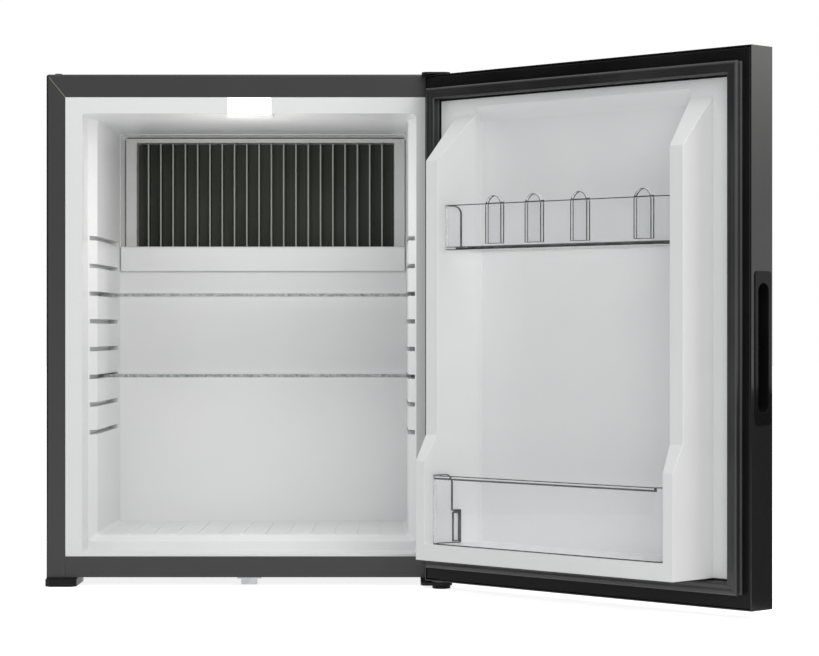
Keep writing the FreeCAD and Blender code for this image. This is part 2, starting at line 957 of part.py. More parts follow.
def make_pins():
    """Lower and upper hinge pins."""
    low = bracket_levels()[0]
    lower = cylinder(pin_radius, Vector(pin_x, pin_y, low), Vector(pin_x, pin_y, door_bottom_z + pin_engagement))
    top = top_z - sheet
    upper = cylinder(pin_radius, Vector(pin_x, pin_y, door_top_z - pin_engagement), Vector(pin_x, pin_y, top))
    return lower, upper


def make_bushes():
    """Door bushes that turn on the pins, set in the door's bottom and top edges."""
    bore = pin_radius + pin_clearance
    bushes = []
    for z, way in ((door_bottom_z, 1), (door_top_z, -1)):
        start = Vector(pin_x, pin_y, z)
        end = start + Vector(0, 0, way * bush_length)
        body = cylinder(bush_radius, start, end)
        bushes.append(body.cut(cylinder(bore, start - Vector(0, 0, overrun * way), end)))
    return bushes


def bush_room():
    """Solid room that the two bushes fill."""
    rooms = []
    for z, way in ((door_bottom_z, 1), (door_top_z, -1)):
        start = Vector(pin_x, pin_y, z)
        rooms.append(cylinder(bush_radius, start, start + Vector(0, 0, way * bush_length)))
    return rooms[0].fuse(rooms[1])


def make_door_skin():
    """Door pan: outer face and four sides, open towards the cabinet."""
    block = box(-door_half, door_half, door_outer_y, door_inner_y, door_bottom_z, door_top_z)
    face_edges = [e for e in block.Edges if all(near(v.Point.y, door_outer_y) for v in e.Vertexes)]
    block = block.makeFillet(door_edge_radius, face_edges)
    return block.cut(door_room(door_outer_y + door_skin, door_inner_y + overrun))


def door_room(y0, y1):
    """Room inside the door pan between two depths."""
    x = door_half - door_skin
    return box(-x, x, y0, y1, door_bottom_z + door_skin, door_top_z - door_skin)


def make_door_frame():
    """Dark frame round the inner face, with a channel for the gasket's foot."""
    y0 = door_inner_y - door_frame_thickness
    x = door_half - door_skin
    z0 = door_bottom_z + door_skin
    z1 = door_top_z - door_skin
    block = box(-x, x, y0, door_inner_y, z0, z1)
    rim = [e for e in block.Edges if all(near(v.Point.y, door_inner_y) for v in e.Vertexes)]
    block = block.makeChamfer(door_frame_chamfer, rim)
    return block.cut(liner_window(y0 - overrun, door_inner_y + overrun)).cut(gasket_foot())


def liner_window(y0, y1):
    """The frame's inner window, which the door liner fills."""
    x = door_half - door_frame_side
    return box(-x, x, y0, y1, door_bottom_z + door_frame_end, door_top_z - door_frame_end)


def gasket_layer(width, y0, y1):
    """One layer of the gasket, centred on its line."""
    inset = gasket_inset + (gasket_width - width) / 2
    end = inset - (door_frame_side - door_frame_end)
    return ring(door_half, door_bottom_z, door_top_z, inset, end, width, y0, y1)


def gasket_foot():
    """The gasket's foot, which the frame's channel holds."""
    return gasket_layer(gasket_foot_width, door_inner_y - gasket_foot_depth, door_inner_y)


def make_gasket():
    """Gasket with a foot, a base, a narrow waist and a bead that holds the magnet."""
    base_y = door_inner_y + gasket_base
    bead_y = -running_gap - gasket_bead
    gasket = gasket_foot().fuse(gasket_layer(gasket_width, door_inner_y, base_y))
    gasket = gasket.fuse(gasket_layer(gasket_waist, base_y, bead_y))
    bead = gasket_layer(gasket_width, bead_y, -running_gap)
    magnet_y = -running_gap - magnet_cover
    magnet = gasket_layer(magnet_width, magnet_y - magnet_height, magnet_y)
    return gasket.fuse(bead).cut(magnet), magnet


def rib_solid(inset, deep):
    """The liner's two side ribs: reach, top slope and step, with drafted flanks, grown inwards by an inset."""
    upper = door_inner_y + rib_reach_upper - inset
    lower = door_inner_y + rib_reach_lower - inset
    top = door_top_z - rib_top_gap - inset
    step_z = door_middle_z - rib_step_below_middle - inset
    bottom = door_bottom_z + door_frame_end + inset
    outline = [
        (deep, top),
        (door_inner_y - inset, top),
        (upper, top - rib_slope),
        (upper, step_z),
        (lower, step_z - rib_step_length),
        (lower, bottom),
        (deep, bottom),
    ]
    outer = door_half - rib_foot_outer - inset
    inner = door_half - rib_foot_inner + inset
    ribs = []
    for side in (-1, 1):
        body = prism([Vector(side * inner, y, z) for y, z in outline], Vector(side * (outer - inner), 0, 0))
        reach = door_inner_y + rib_reach_lower
        ends = (door_bottom_z, door_height)
        for foot, crest, beyond in (
            (outer, outer - rib_draft_outer, outer + overrun),
            (inner, inner + rib_draft_inner, inner - overrun),
        ):
            wedge = [(foot, door_inner_y), (crest, reach), (beyond, reach), (beyond, door_inner_y)]
            cutter = prism([Vector(side * x, y, ends[0]) for x, y in wedge], Vector(0, 0, ends[1]))
            body = body.cut(cutter)
        ribs.append(body)
    return ribs[0].fuse(ribs[1])


def ledge_solid(inset, deep):
    """The liner's bottom ledge between the ribs, whose top carries the lower rack."""
    x = door_half - rib_foot_outer - rib_draft_outer - inset
    bottom = door_bottom_z + door_frame_end + inset
    return box(-x, x, deep, door_inner_y + rib_reach_lower - inset, bottom, ledge_top() - inset)


def ledge_top():
    """Height of the door liner's bottom ledge."""
    return door_bottom_z + door_frame_end + ledge_rise


def panel_hollow(grow, y0):
    """Sunken panel between the ribs, with a sloping brow at its top."""
    x = door_half - rib_foot_inner + grow
    top = door_top_z - door_frame_end - panel_top_gap + grow
    low = ledge_top() - grow
    front = door_inner_y + rib_reach_lower
    outline = [(y0, low), (front, low), (front, top), (y0 + panel_recess, top), (y0, top - panel_brow)]
    return prism([Vector(-x, y, z) for y, z in outline], Vector(2 * x, 0, 0))


def door_liner_body(inset):
    """What the door liner covers, up to its face or to its underside."""
    deep = door_inner_y - liner_foam_depth
    plate = liner_window(deep, door_inner_y - inset)
    hollow = panel_hollow(inset, door_inner_y - panel_recess - inset)
    body = plate.cut(hollow)
    return body.fuse(rib_solid(inset, deep)).fuse(ledge_solid(inset, deep))


def make_door_liner():
    """White liner sheet with its ribs, ledge and sunken panel."""
    return door_liner_body(0).cut(door_liner_body(door_liner_wall))


def make_door_foam():
    """Foam that fills the door between the skin and the liner."""
    deep = door_inner_y - liner_foam_depth
    back = door_room(door_outer_y + door_skin, deep)
    border = door_room(deep, door_inner_y - door_frame_thickness)
    border = border.cut(liner_window(deep - overrun, door_inner_y))
    return back.fuse(border).fuse(door_liner_body(door_liner_wall))


def slot_shape(length, width, x0, x1, grow):
    """Upright slot with round ends through a span of X, at the handle's place."""
    y = (door_outer_y + door_inner_y) / 2
    z = door_middle_z - handle_below_middle
    half = (length - width) / 2
    radius = width / 2 + grow
    ends = [
        cylinder(radius, Vector(x0, y, z + way * half), Vector(x1, y, z + way * half)) for way in (-1, 1)
    ]
    return box(x0, x1, y - radius, y + radius, z - half, z + half).fuse(ends[0]).fuse(ends[1])


def make_handle():
    """Handle insert: a plate on the free edge with a finger pocket behind it."""
    face = -door_half
    y = (door_outer_y + door_inner_y) / 2
    z = door_middle_z - handle_below_middle
    plate = box(
        face - handle_plate_thickness,
        face,
        y - handle_plate_width / 2,
        y + handle_plate_width / 2,
        z - handle_plate_length / 2,
        z + handle_plate_length / 2,
    )
    corners = [e for e in plate.Edges if near(e.Length, handle_plate_thickness)]
    plate = plate.makeFillet(handle_plate_corner, corners)
    pocket = slot_shape(
        handle_slot_length, handle_slot_width, face - overrun, face + handle_slot_depth, 0
    )
    return plate.fuse(handle_cup()).cut(pocket)


def handle_cup():
    """Outside of the finger pocket inside the door."""
    depth = handle_slot_depth + handle_wall
    return slot_shape(handle_slot_length, handle_slot_width, -door_half, -door_half + depth, handle_wall)


def rib_flank(out):
    """Half the room between the ribs' inner flanks, at a distance out of the door's inner face."""
    return door_half - rib_foot_inner + rib_draft_inner * max(out, 0) / rib_reach_lower - rack_clear


def rack_block(inset, reach, back, z0, z1):
    """Block between the ribs' flanks, set in by a wall at its front and ends."""
    front = reach - inset
    points = [
        (-rib_flank(front) + inset, front),
        (-rib_flank(0) + inset, 0),
        (-rib_flank(0) + inset, back),
        (rib_flank(0) - inset, back),
        (rib_flank(0) - inset, 0),
        (rib_flank(front) - inset, front),
    ]
    block = prism([Vector(x, door_inner_y + out, z0) for x, out in points], Vector(0, 0, z1 - z0))
    y = door_inner_y + front
    upright = [e for e in upright_edges(block) if near(e.Vertexes[0].Point.y, y)]
    return block.makeFillet(rack_corner - inset, upright)


def rack_end_cut(out, z0, z1):
    """Room behind a rack's short ends, which are round at their upper back corners."""
    y = door_inner_y + out
    low = z1 - rack_end_round
    room = box(-door_half, door_half, door_inner_y - panel_recess - overrun, y, z0, z1 + overrun)
    corner = box(-door_half, door_half, y, y + rack_end_round, low, z1 + overrun)
    middle = y + rack_end_round
    bar = cylinder(rack_end_round, Vector(-door_half, middle, low), Vector(door_half, middle, low))
    return room.fuse(corner.cut(bar))


def make_upper_rack():
    """Clear tray between the ribs."""
    z0 = door_middle_z + upper_rack_floor
    z1 = z0 + upper_rack_height
    back = rack_clear - panel_recess
    rack = rack_block(0, upper_rack_reach, back, z0, z1)
    room = rack_block(rack_wall, upper_rack_reach, back - overrun, z0 + rack_wall, z1 + overrun)
    return rack.cut(room).cut(rack_end_cut(upper_rack_end, z0 + rack_wall, z1))


def make_lower_rack():
    """Clear guard that stands on the bottom ledge, with a bead along its top and a slot in each end."""
    z0 = ledge_top()
    z1 = z0 + lower_rack_height
    back = rack_clear - panel_recess
    rack = rack_block(0, lower_rack_reach, back, z0, z1)
    room = rack_block(rack_wall, lower_rack_reach, back - overrun, z0 - overrun, z1 + overrun)
    rack = rack.cut(room)
    x = rib_flank(lower_rack_reach) - rack_corner
    y = door_inner_y + lower_rack_reach
    bead = box(-x, x, y - rack_wall, y + rack_bead_proud, z1 - rack_bead, z1)
    foot_z = z0 + rack_foot_height
    foot_y = door_inner_y + rack_foot_end
    rack = rack.fuse(bead).cut(rack_end_cut(lower_rack_end, foot_z, z1))
    rack = rack.cut(box(-door_half, door_half, door_inner_y - panel_recess, foot_y, z0 - overrun, foot_z))
    slot_y = door_inner_y + rack_slot_out
    slot_z = z0 + rack_slot_up
    return rack.cut(
        box(-door_half, door_half, slot_y, slot_y + rack_slot_width, slot_z, slot_z + rack_slot_height)
    )


def make_divider(place_share):
    """Clear divider that straddles the upper rack's front wall, round at its top."""
    x = place_share * (rib_flank(upper_rack_reach) - rack_corner - divider_width / 2)
    top = door_middle_z + upper_rack_floor + upper_rack_height
    front = door_inner_y + upper_rack_reach
    slot0 = front - rack_wall - rack_clear
    slot1 = front + rack_clear
    y0 = slot0 - divider_leg
    depth = Vector(0, slot1 + divider_leg - y0, 0)
    half = divider_width / 2
    low = top - divider_drop
    crown = top + divider_rise
    spring = crown - half
    a = Vector(x - half, y0, low)
    b = Vector(x + half, y0, low)
    c = Vector(x + half, y0, spring)
    d = Vector(x - half, y0, spring)
    outline = Part.Wire(
        [
            Part.LineSegment(a, b).toShape(),
            Part.LineSegment(b, c).toShape(),
            Part.Arc(c, Vector(x, y0, crown), d).toShape(),
            Part.LineSegment(d, a).toShape(),
        ]
    )
    body = Part.Face(outline).extrude(depth)
    return body.cut(box(x - divider_width, x + divider_width, slot0, slot1, low - overrun, top + rack_clear))


def build_cabinet():
    """Every fixed piece of the cabinet and its cooling unit."""
    screws = [screw(p, d) for p, d in hinge_screws()]
    shanks = [hole(p, d) for p, d in hinge_screws()]
    hinge_holes = Part.makeCompound(shanks)
    rear_points = rear_screw_points()
    rear_holes = Part.makeCompound([hole(p, Vector(0, 1, 0)) for p in rear_points])
    lower_pin, upper_pin = make_pins()
    lens, board, housing = make_lamp()
    lamp_room = lamp_box(lamp_housing_wall, liner_wall, lamp_housing_depth)
    lamp_hole = lamp_box(0, -overrun, lamp_lens_depth)
    drain = drain_top()
    drain_room = cylinder(drain_radius, drain - Vector(0, 0, drain_tube_length), drain)
    plug_top = Vector(-pin_x, plug_back, top_z)
    plug_stem_low = plug_top - Vector(0, 0, plug_stem)
    plug_hole = cylinder(plug_stem_radius, plug_stem_low, plug_top)
    riser = bent_tube(condenser_points(), pipe_bend, pipe_radius)
    cold = bent_tube(evaporator_points(), evaporator_pipe_bend, evaporator_pipe_radius)
    coil = bent_tube(coil_points(), coil_bend, coil_radius)
    vessel = make_vessel()
    can, wool, heater = make_boiler()
    solution = cylinder(
        evaporator_pipe_radius,
        Vector(vessel_right, unit_depth, vessel_height),
        Vector(boiler_x - pipe_radius, unit_depth, vessel_height),
    )
    bridge_z = cold_height()
    bridge = box(
        -bridge_width / 2,
        bridge_width / 2,
        recess_depth,
        evaporator_pipe_depth,
        bridge_z - bridge_height / 2,
        bridge_z + bridge_height / 2,
    ).cut(cold)

    leaf = make_upper_plate()
    save("cabinet_wrapper", make_wrapper().cut(leaf).cut(plug_hole))
    save("bottom_rail", make_rail())
    save("base_pan", make_base_pan().cut(hinge_holes))
    flange = make_liner_flange()
    outside = make_cavity(liner_wall).fuse(flange)
    room = make_cavity(0)
    liner = outside.cut(room).multiFuse(make_floor_ribs())
    save("inner_liner", liner.cut(lamp_hole).cut(lamp_room).cut(drain_room).cut(bridge))
    panel = stepped_block(sheet).cut(stepped_block(0)).common(cabinet_block(sheet))
    save("rear_panel", panel.cut(cold).cut(drain_room).cut(rear_holes))
    foam = stepped_block(0).common(cabinet_block(sheet)).cut(outside).cut(lamp_room)
    foam = foam.cut(drain_room).cut(cold).cut(bridge).cut(hinge_holes).cut(rear_holes).cut(plug_hole).cut(leaf)
    save("cabinet_foam", foam)
    save("evaporator_fins", make_evaporator())
    save("evaporator_frame", make_evaporator_frame(room))
    save("drip_tray", make_tray(room))
    save("drain_tube", make_drain_tube())
    save("drip_cup", make_cup())
    save("lamp_lens", lens)
    save("lamp_board", board)
    save("lamp_housing", housing)
    save("front_foot", make_front_foot())
    save("rear_feet", Part.makeCompound(make_rear_feet()))
    save("front_tab", make_tab())
    save("hinge_hole_plug", cylinder(plug_radius, plug_top, plug_top + Vector(0, 0, plug_height)).fuse(plug_hole))
    pin_hole = lower_pin.fuse(upper_pin)
    save("lower_hinge_bracket", make_lower_bracket().cut(pin_hole).cut(hinge_holes))
    save("upper_hinge_plate", leaf.cut(pin_hole))
    save("lower_hinge_pin", lower_pin)
    save("upper_hinge_pin", upper_pin)
    save("hinge_screws", Part.makeCompound(screws))
    bracket_low, bracket_top = bracket_levels()
    pin_foot = Vector(pin_x, pin_y, 0)
    save("hinge_foot", cylinder(stub_radius, pin_foot, pin_foot + Vector(0, 0, bracket_low)))
    washer_low = Vector(pin_x, pin_y, bracket_top)
    washer_top = Vector(pin_x, pin_y, door_bottom_z - running_gap)
    save("hinge_washer", cylinder(washer_radius, washer_low, washer_top).cut(lower_pin))
    save("boiler_casing", can.cut(riser).cut(heater).cut(solution))
    save("boiler_insulation", wool.cut(riser).cut(heater).cut(solution))
    save("boiler_heater", heater)
    save("condenser_pipe", riser)
    save("condenser_fins", Part.makeCompound(make_condenser_fins(riser)))
    save("condenser_clips", Part.makeCompound(make_clips(riser)))
    save("absorber_vessel", vessel)
    save("absorber_coil", coil.cut(vessel))
    save("absorber_saddles", Part.makeCompound(make_saddles()))
    save("solution_pipe", solution.cut(riser))
    save("evaporator_pipe", cold.cut(coil))
    save("heat_bridge", bridge)
    for name, piece in zip(("control_box", "control_lid", "mains_inlet"), make_control_box()):
        save(name, piece)
    save("rear_screws", Part.makeCompound([screw(p, Vector(0, 1, 0)) for p in rear_points]))


def build_shelves():
    """The two glass shelves."""
    save("upper_shelf", make_shelf(upper_shelf_skip_count))
    save("lower_shelf", make_shelf(lower_shelf_skip_count))


def build_door():
    """Every piece that swings with the door, turned to where it stands open."""
    gasket, magnet = make_gasket()
    bushes = make_bushes()
    rooms = bush_room()
    cup = handle_cup()
    pieces = {
        "door_skin": make_door_skin().cut(rooms).cut(cup),
        "door_frame": make_door_frame(),
        "door_foam": make_door_foam().cut(rooms).cut(cup),
        "door_liner": make_door_liner(),
        "door_gasket": gasket,
        "gasket_magnet": magnet,
        "handle_insert": make_handle(),
        "lower_hinge_bush": bushes[0],
        "upper_hinge_bush": bushes[1],
        "upper_rack": make_upper_rack(),
        "lower_rack": make_lower_rack(),
    }
    for i, place_share in enumerate(divider_place_shares):
        pieces["rack_divider_" + str(i + 1)] = make_divider(place_share)
    for name, piece in pieces.items():
        save(name, shut_to_open(piece))


os.makedirs("parts", exist_ok=True)
build_cabinet()
build_shelves()
build_door()
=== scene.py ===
"""Looks of the minibar fridge: finishes, softened mouldings, gasket, fins, screws, studio and camera.

Metres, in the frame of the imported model: X to the right, Y to the back, Z up, origin on the floor
below the middle of the cabinet's front edge. The door stands open at rest.
"""
from __future__ import annotations

import json
import logging
import math
from dataclasses import dataclass
from enum import Enum

import bmesh
import bpy
from mathutils import Matrix, Vector

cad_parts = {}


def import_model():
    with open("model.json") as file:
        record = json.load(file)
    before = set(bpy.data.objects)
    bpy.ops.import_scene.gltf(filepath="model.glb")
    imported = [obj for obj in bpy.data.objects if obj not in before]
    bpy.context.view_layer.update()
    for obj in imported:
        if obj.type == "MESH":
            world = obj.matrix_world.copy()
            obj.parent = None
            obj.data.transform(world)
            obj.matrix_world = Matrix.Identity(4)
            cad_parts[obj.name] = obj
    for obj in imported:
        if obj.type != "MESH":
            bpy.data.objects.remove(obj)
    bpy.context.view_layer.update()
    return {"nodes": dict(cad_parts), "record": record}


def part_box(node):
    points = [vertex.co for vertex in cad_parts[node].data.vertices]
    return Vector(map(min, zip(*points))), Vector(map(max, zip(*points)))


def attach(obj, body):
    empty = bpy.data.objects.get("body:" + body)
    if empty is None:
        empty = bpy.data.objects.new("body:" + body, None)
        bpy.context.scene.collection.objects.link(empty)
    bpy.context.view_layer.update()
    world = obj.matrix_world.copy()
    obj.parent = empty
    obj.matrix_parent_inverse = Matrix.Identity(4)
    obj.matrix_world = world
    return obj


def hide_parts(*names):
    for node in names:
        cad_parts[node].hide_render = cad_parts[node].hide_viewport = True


LOG = logging.getLogger("minibar")
Colour = tuple[float, float, float]
Place = tuple[float, float, float]
MM = 0.001


class Grain(Enum):
    """The kinds of surface that the fridge's finishes have; two of them paint light and shade into their
    colour.
    """

    PAINT = "sprayed paint with a fine orange peel"
    SHEET = "thermoformed plastic sheet"
    MOULDED = "moulded plastic with a fine spark texture"
    RUBBER = "soft rubber with a dusty bloom"
    SPANGLE = "zinc crystals on steel sheet"
    DRAWN = "fine lines of drawn or milled metal"
    CELLS = "closed foam cells"
    FIBRES = "matted fibres"
    # Fin finish: the dark colour is painted shade between the fins, and the lighter front edges are a
    # painted highlight.
    BARE_EDGE = "coating that leaves the cut front edges bare"
    CLEAR = "clear and polished, faintly wavy"
    # Rim of a clear sheet: painted dark as painted shade, with lighter patches here and there as painted
    # glints.
    CUT = "cut rim of a clear sheet, which glints here and there"
    LENS = "diffuser with fine ribs"


@dataclass(frozen=True)
class Finish:
    """One surface finish, for a material slot of the record or for the painted dark rim of a clear one."""

    slot: str
    grain: Grain
    colour: Colour
    second: Colour
    roughness: tuple[float, float]
    scale: float
    bump: float
    metallic: float = 0.0
    specular: float = 0.5
    ior: float = 1.5
    transmission: float = 0.0
    glow: float = 0.0


FINISHES: tuple[Finish, ...] = (
    Finish("painted_steel", Grain.PAINT, (0.017, 0.017, 0.017), (0.019, 0.019, 0.019),
           roughness=(0.25, 0.27), scale=850.0, bump=0.06),
    Finish("galvanised_steel", Grain.SPANGLE, (0.38, 0.385, 0.39), (0.46, 0.465, 0.47),
           roughness=(0.34, 0.44), scale=150.0, bump=0.03, metallic=1.0),
    Finish("white_liner", Grain.SHEET, (0.815, 0.82, 0.825), (0.83, 0.835, 0.838),
           roughness=(0.30, 0.35), scale=420.0, bump=0.04, specular=0.4),
    Finish("insulating_foam", Grain.CELLS, (0.72, 0.62, 0.36), (0.84, 0.75, 0.50),
           roughness=(0.85, 0.95), scale=600.0, bump=0.60),
    # Fins: the first, dark colour is painted shade between the fins; the second, lighter colour is a
    # painted highlight on their front edges.
    Finish("coated_fins", Grain.BARE_EDGE, (0.050, 0.057, 0.042), (0.50, 0.52, 0.48),
           roughness=(0.45, 0.60), scale=300.0, bump=0.12),
    Finish("light_grey_plastic", Grain.MOULDED, (0.75, 0.755, 0.75), (0.78, 0.785, 0.78),
           roughness=(0.42, 0.55), scale=1100.0, bump=0.10),
    Finish("lamp_diffuser", Grain.LENS, (0.94, 0.95, 0.95), (0.90, 0.91, 0.92),
           roughness=(0.30, 0.40), scale=500.0, bump=0.10, glow=1.6),
    Finish("white_plastic", Grain.MOULDED, (0.80, 0.80, 0.79), (0.85, 0.85, 0.84),
           roughness=(0.40, 0.52), scale=1100.0, bump=0.10),
    Finish("black_plastic", Grain.MOULDED, (0.006, 0.006, 0.007), (0.010, 0.010, 0.011),
           roughness=(0.24, 0.34), scale=1300.0, bump=0.12, specular=0.12),
    Finish("dark_door_frame", Grain.MOULDED, (0.008, 0.008, 0.008), (0.012, 0.012, 0.012),
           roughness=(0.26, 0.36), scale=1200.0, bump=0.10, specular=0.11),
    Finish("black_rubber", Grain.RUBBER, (0.017, 0.017, 0.017), (0.023, 0.023, 0.023),
           roughness=(0.28, 0.40), scale=700.0, bump=0.12),
    Finish("bonded_magnet", Grain.RUBBER, (0.07, 0.06, 0.06), (0.10, 0.09, 0.09),
           roughness=(0.70, 0.85), scale=500.0, bump=0.20),
    Finish("clear_glass", Grain.CLEAR, (0.95, 0.975, 0.965), (0.96, 0.98, 0.975),
           roughness=(0.0, 0.02), scale=30.0, bump=0.01, ior=1.45, transmission=1.0),
    Finish("clear_plastic", Grain.CLEAR, (0.955, 0.96, 0.965), (0.965, 0.97, 0.975),
           roughness=(0.0, 0.03), scale=45.0, bump=0.02, ior=1.22, transmission=1.0),
    Finish("black_hinge_steel", Grain.PAINT, (0.008, 0.008, 0.009), (0.012, 0.012, 0.013),
           roughness=(0.30, 0.42), scale=900.0, bump=0.12, specular=0.18),
    Finish("zinc_steel", Grain.DRAWN, (0.24, 0.24, 0.23), (0.42, 0.42, 0.40),
           roughness=(0.22, 0.36), scale=900.0, bump=0.08, metallic=1.0),
    Finish("hinge_nylon", Grain.MOULDED, (0.74, 0.74, 0.69), (0.80, 0.80, 0.76),
           roughness=(0.45, 0.60), scale=900.0, bump=0.10),
    Finish("black_pipework", Grain.PAINT, (0.016, 0.016, 0.016), (0.026, 0.026, 0.025),
           roughness=(0.42, 0.60), scale=500.0, bump=0.20, specular=0.4),
    Finish("mineral_wool", Grain.FIBRES, (0.42, 0.37, 0.27), (0.60, 0.54, 0.42),
           roughness=(0.90, 1.00), scale=260.0, bump=0.90),
    Finish("bare_aluminium", Grain.DRAWN, (0.66, 0.67, 0.68), (0.76, 0.77, 0.78),
           roughness=(0.28, 0.42), scale=700.0, bump=0.08, metallic=1.0),
)
# Rims of clear pieces: a dark colour paints the dark edge line that light leaves on glass and clear
# plastic, and lighter noise patches are painted glints.
PAINTED_RIMS: dict[str, Finish] = {
    "clear_glass": Finish("glass_rim", Grain.CUT, (0.10, 0.12, 0.11), (0.62, 0.65, 0.64),
                          roughness=(0.10, 0.25), scale=420.0, bump=0.10, ior=1.45, transmission=0.35),
    "clear_plastic": Finish("plastic_rim", Grain.CUT, (0.035, 0.035, 0.035), (0.14, 0.14, 0.14),
                            roughness=(0.05, 0.15), scale=90.0, bump=0.05, ior=1.3, transmission=0.3),
}


class Paintbox:
    """Builds each finish once, as a node material on object coordinates."""

    broad_scale: float = 14.0
    broad_detail: float = 3.0
    fine_detail: float = 2.0
    line_detail: float = 4.0
    line_stretch: tuple[float, float, float] = (1.0, 1.0, 0.06)
    lamp_colour: Colour = (1.0, 0.99, 0.97)
    # Depths behind the fins' front over which the painted edge highlight fades into painted shade, and how
    # light it is at the front.
    painted_lit_edge: tuple[float, float] = (0.4 * MM, 1.0 * MM)
    painted_lit_share: float = 0.85
    fine_span: tuple[float, float] = (0.25, 0.75)
    broad_span: tuple[float, float] = (0.35, 0.65)
    sheen_span: tuple[float, float] = (0.3, 0.7)
    relief_depth: float = 0.3 * MM

    def __init__(self, front_of_fins: float) -> None:
        """Keep the place of the fins' front edge.

        Args:
            front_of_fins: Y of the front edge of the evaporator's fins, behind which the painted highlight
                of the edges gives way to painted shade.
        """
        self.front_of_fins = front_of_fins
        self.materials: dict[str, bpy.types.Material] = {f.slot: self.build(f) for f in FINISHES}
        # Painted dark rims with painted glints, for the clear pieces.
        self.painted_rims: dict[str, bpy.types.Material] = {slot: self.build(f) for slot, f in PAINTED_RIMS.items()}

    def build(self, finish: Finish) -> bpy.types.Material:
        """Build one finish.

        Args:
            finish: The finish and its numbers.

        Returns:
            A material whose colour, roughness and relief come from nodes.
        """
        material = bpy.data.materials.new(finish.slot)
        material.use_nodes = True
        tree = material.node_tree
        tree.nodes.clear()
        out = tree.nodes.new("ShaderNodeOutputMaterial")
        shader = tree.nodes.new("ShaderNodeBsdfPrincipled")
        tree.links.new(shader.outputs["BSDF"], out.inputs["Surface"])
        shader.inputs["Metallic"].default_value = finish.metallic
        shader.inputs["Specular IOR Level"].default_value = finish.specular
        shader.inputs["IOR"].default_value = finish.ior
        shader.inputs["Transmission Weight"].default_value = finish.transmission
        if finish.glow:
            shader.inputs["Emission Color"].default_value = (*self.lamp_colour, 1.0)
            shader.inputs["Emission Strength"].default_value = finish.glow
        place = tree.nodes.new("ShaderNodeTexCoord").outputs["Object"]
        fine = self.pattern(tree, finish, place)
        broad = self.noise(tree, place, self.broad_scale, self.broad_detail)
        blend = self.blend(tree, finish, place, fine, broad)
        self.colour(tree, finish, blend, shader)
        self.sheen(tree, finish, broad if finish.grain is not Grain.SPANGLE else fine, shader)
        self.relief(tree, finish, fine, shader)
        return material

    def pattern(
        self, tree: bpy.types.NodeTree, finish: Finish, place: bpy.types.NodeSocket
    ) -> bpy.types.NodeSocket:
        """Choose the fine pattern of a finish.

        Args:
            tree: The material's tree.
            finish: The finish.
            place: Object coordinates.

        Returns:
            The pattern as a number from about 0 to 1.
        """
        if finish.grain in (Grain.SPANGLE, Grain.CELLS):
            cells = tree.nodes.new("ShaderNodeTexVoronoi")
            cells.inputs["Scale"].default_value = finish.scale
            tree.links.new(place, cells.inputs["Vector"])
            if finish.grain is Grain.CELLS:
                return cells.outputs["Distance"]
            split = tree.nodes.new("ShaderNodeSeparateColor")
            tree.links.new(cells.outputs["Color"], split.inputs["Color"])
            return split.outputs["Red"]
        if finish.grain in (Grain.DRAWN, Grain.FIBRES):
            stretch = tree.nodes.new("ShaderNodeMapping")
            stretch.inputs["Scale"].default_value = self.line_stretch
            tree.links.new(place, stretch.inputs["Vector"])
            return self.noise(tree, stretch.outputs["Vector"], finish.scale, self.line_detail)
        if finish.grain is Grain.LENS:
            ribs = tree.nodes.new("ShaderNodeTexWave")
            ribs.bands_direction = "X"
            ribs.inputs["Scale"].default_value = finish.scale
            tree.links.new(place, ribs.inputs["Vector"])
            return ribs.outputs["Fac"]
        return self.noise(tree, place, finish.scale, self.fine_detail)

    def noise(
        self, tree: bpy.types.NodeTree, place: bpy.types.NodeSocket, scale: float, detail: float
    ) -> bpy.types.NodeSocket:
        """Add a noise texture.

        Args:
            tree: The material's tree.
            place: Coordinates that the noise reads.
            scale: Features to the metre.
            detail: Octaves.

        Returns:
            The noise's value socket.
        """
        node = tree.nodes.new("ShaderNodeTexNoise")
        node.inputs["Scale"].default_value = scale
        node.inputs["Detail"].default_value = detail
        tree.links.new(place, node.inputs["Vector"])
        return node.outputs["Fac"]

    def spread(
        self, tree: bpy.types.NodeTree, value: bpy.types.NodeSocket, source: tuple[float, float],
        target: tuple[float, float],
    ) -> bpy.types.NodeSocket:
        """Map a value from one range to another.

        Args:
            tree: The material's tree.
            value: The value.
            source: Its range.
            target: The range wanted.

        Returns:
            The mapped value, kept within the range.
        """
        node = tree.nodes.new("ShaderNodeMapRange")
        node.inputs["From Min"].default_value, node.inputs["From Max"].default_value = source
        node.inputs["To Min"].default_value, node.inputs["To Max"].default_value = target
        tree.links.new(value, node.inputs["Value"])
        return node.outputs["Result"]

    def blend(
        self, tree: bpy.types.NodeTree, finish: Finish, place: bpy.types.NodeSocket,
        fine: bpy.types.NodeSocket, broad: bpy.types.NodeSocket,
    ) -> bpy.types.NodeSocket:
        """Say where a finish shows its second colour.

        Args:
            tree: The material's tree.
            finish: The finish.
            place: Object coordinates.
            fine: The fine pattern.
            broad: Slow variation over the whole piece.

        Returns:
            The share of the second colour.
        """
        # Fins: a painted highlight at the front edge fades into painted shade behind it, set by depth.
        if finish.grain is Grain.BARE_EDGE:
            split = tree.nodes.new("ShaderNodeSeparateXYZ")
            tree.links.new(place, split.inputs["Vector"])
            lit, shaded = (self.front_of_fins + depth for depth in self.painted_lit_edge)
            return self.spread(tree, split.outputs["Y"], (lit, shaded), (self.painted_lit_share, 0.0))
        # For the rims of clear pieces the fine noise places the painted glints on the painted dark rim.
        if finish.grain in (Grain.SPANGLE, Grain.DRAWN, Grain.FIBRES, Grain.CELLS, Grain.CUT):
            return self.spread(tree, fine, self.fine_span, (0.0, 1.0))
        return self.spread(tree, broad, self.broad_span, (0.0, 1.0))

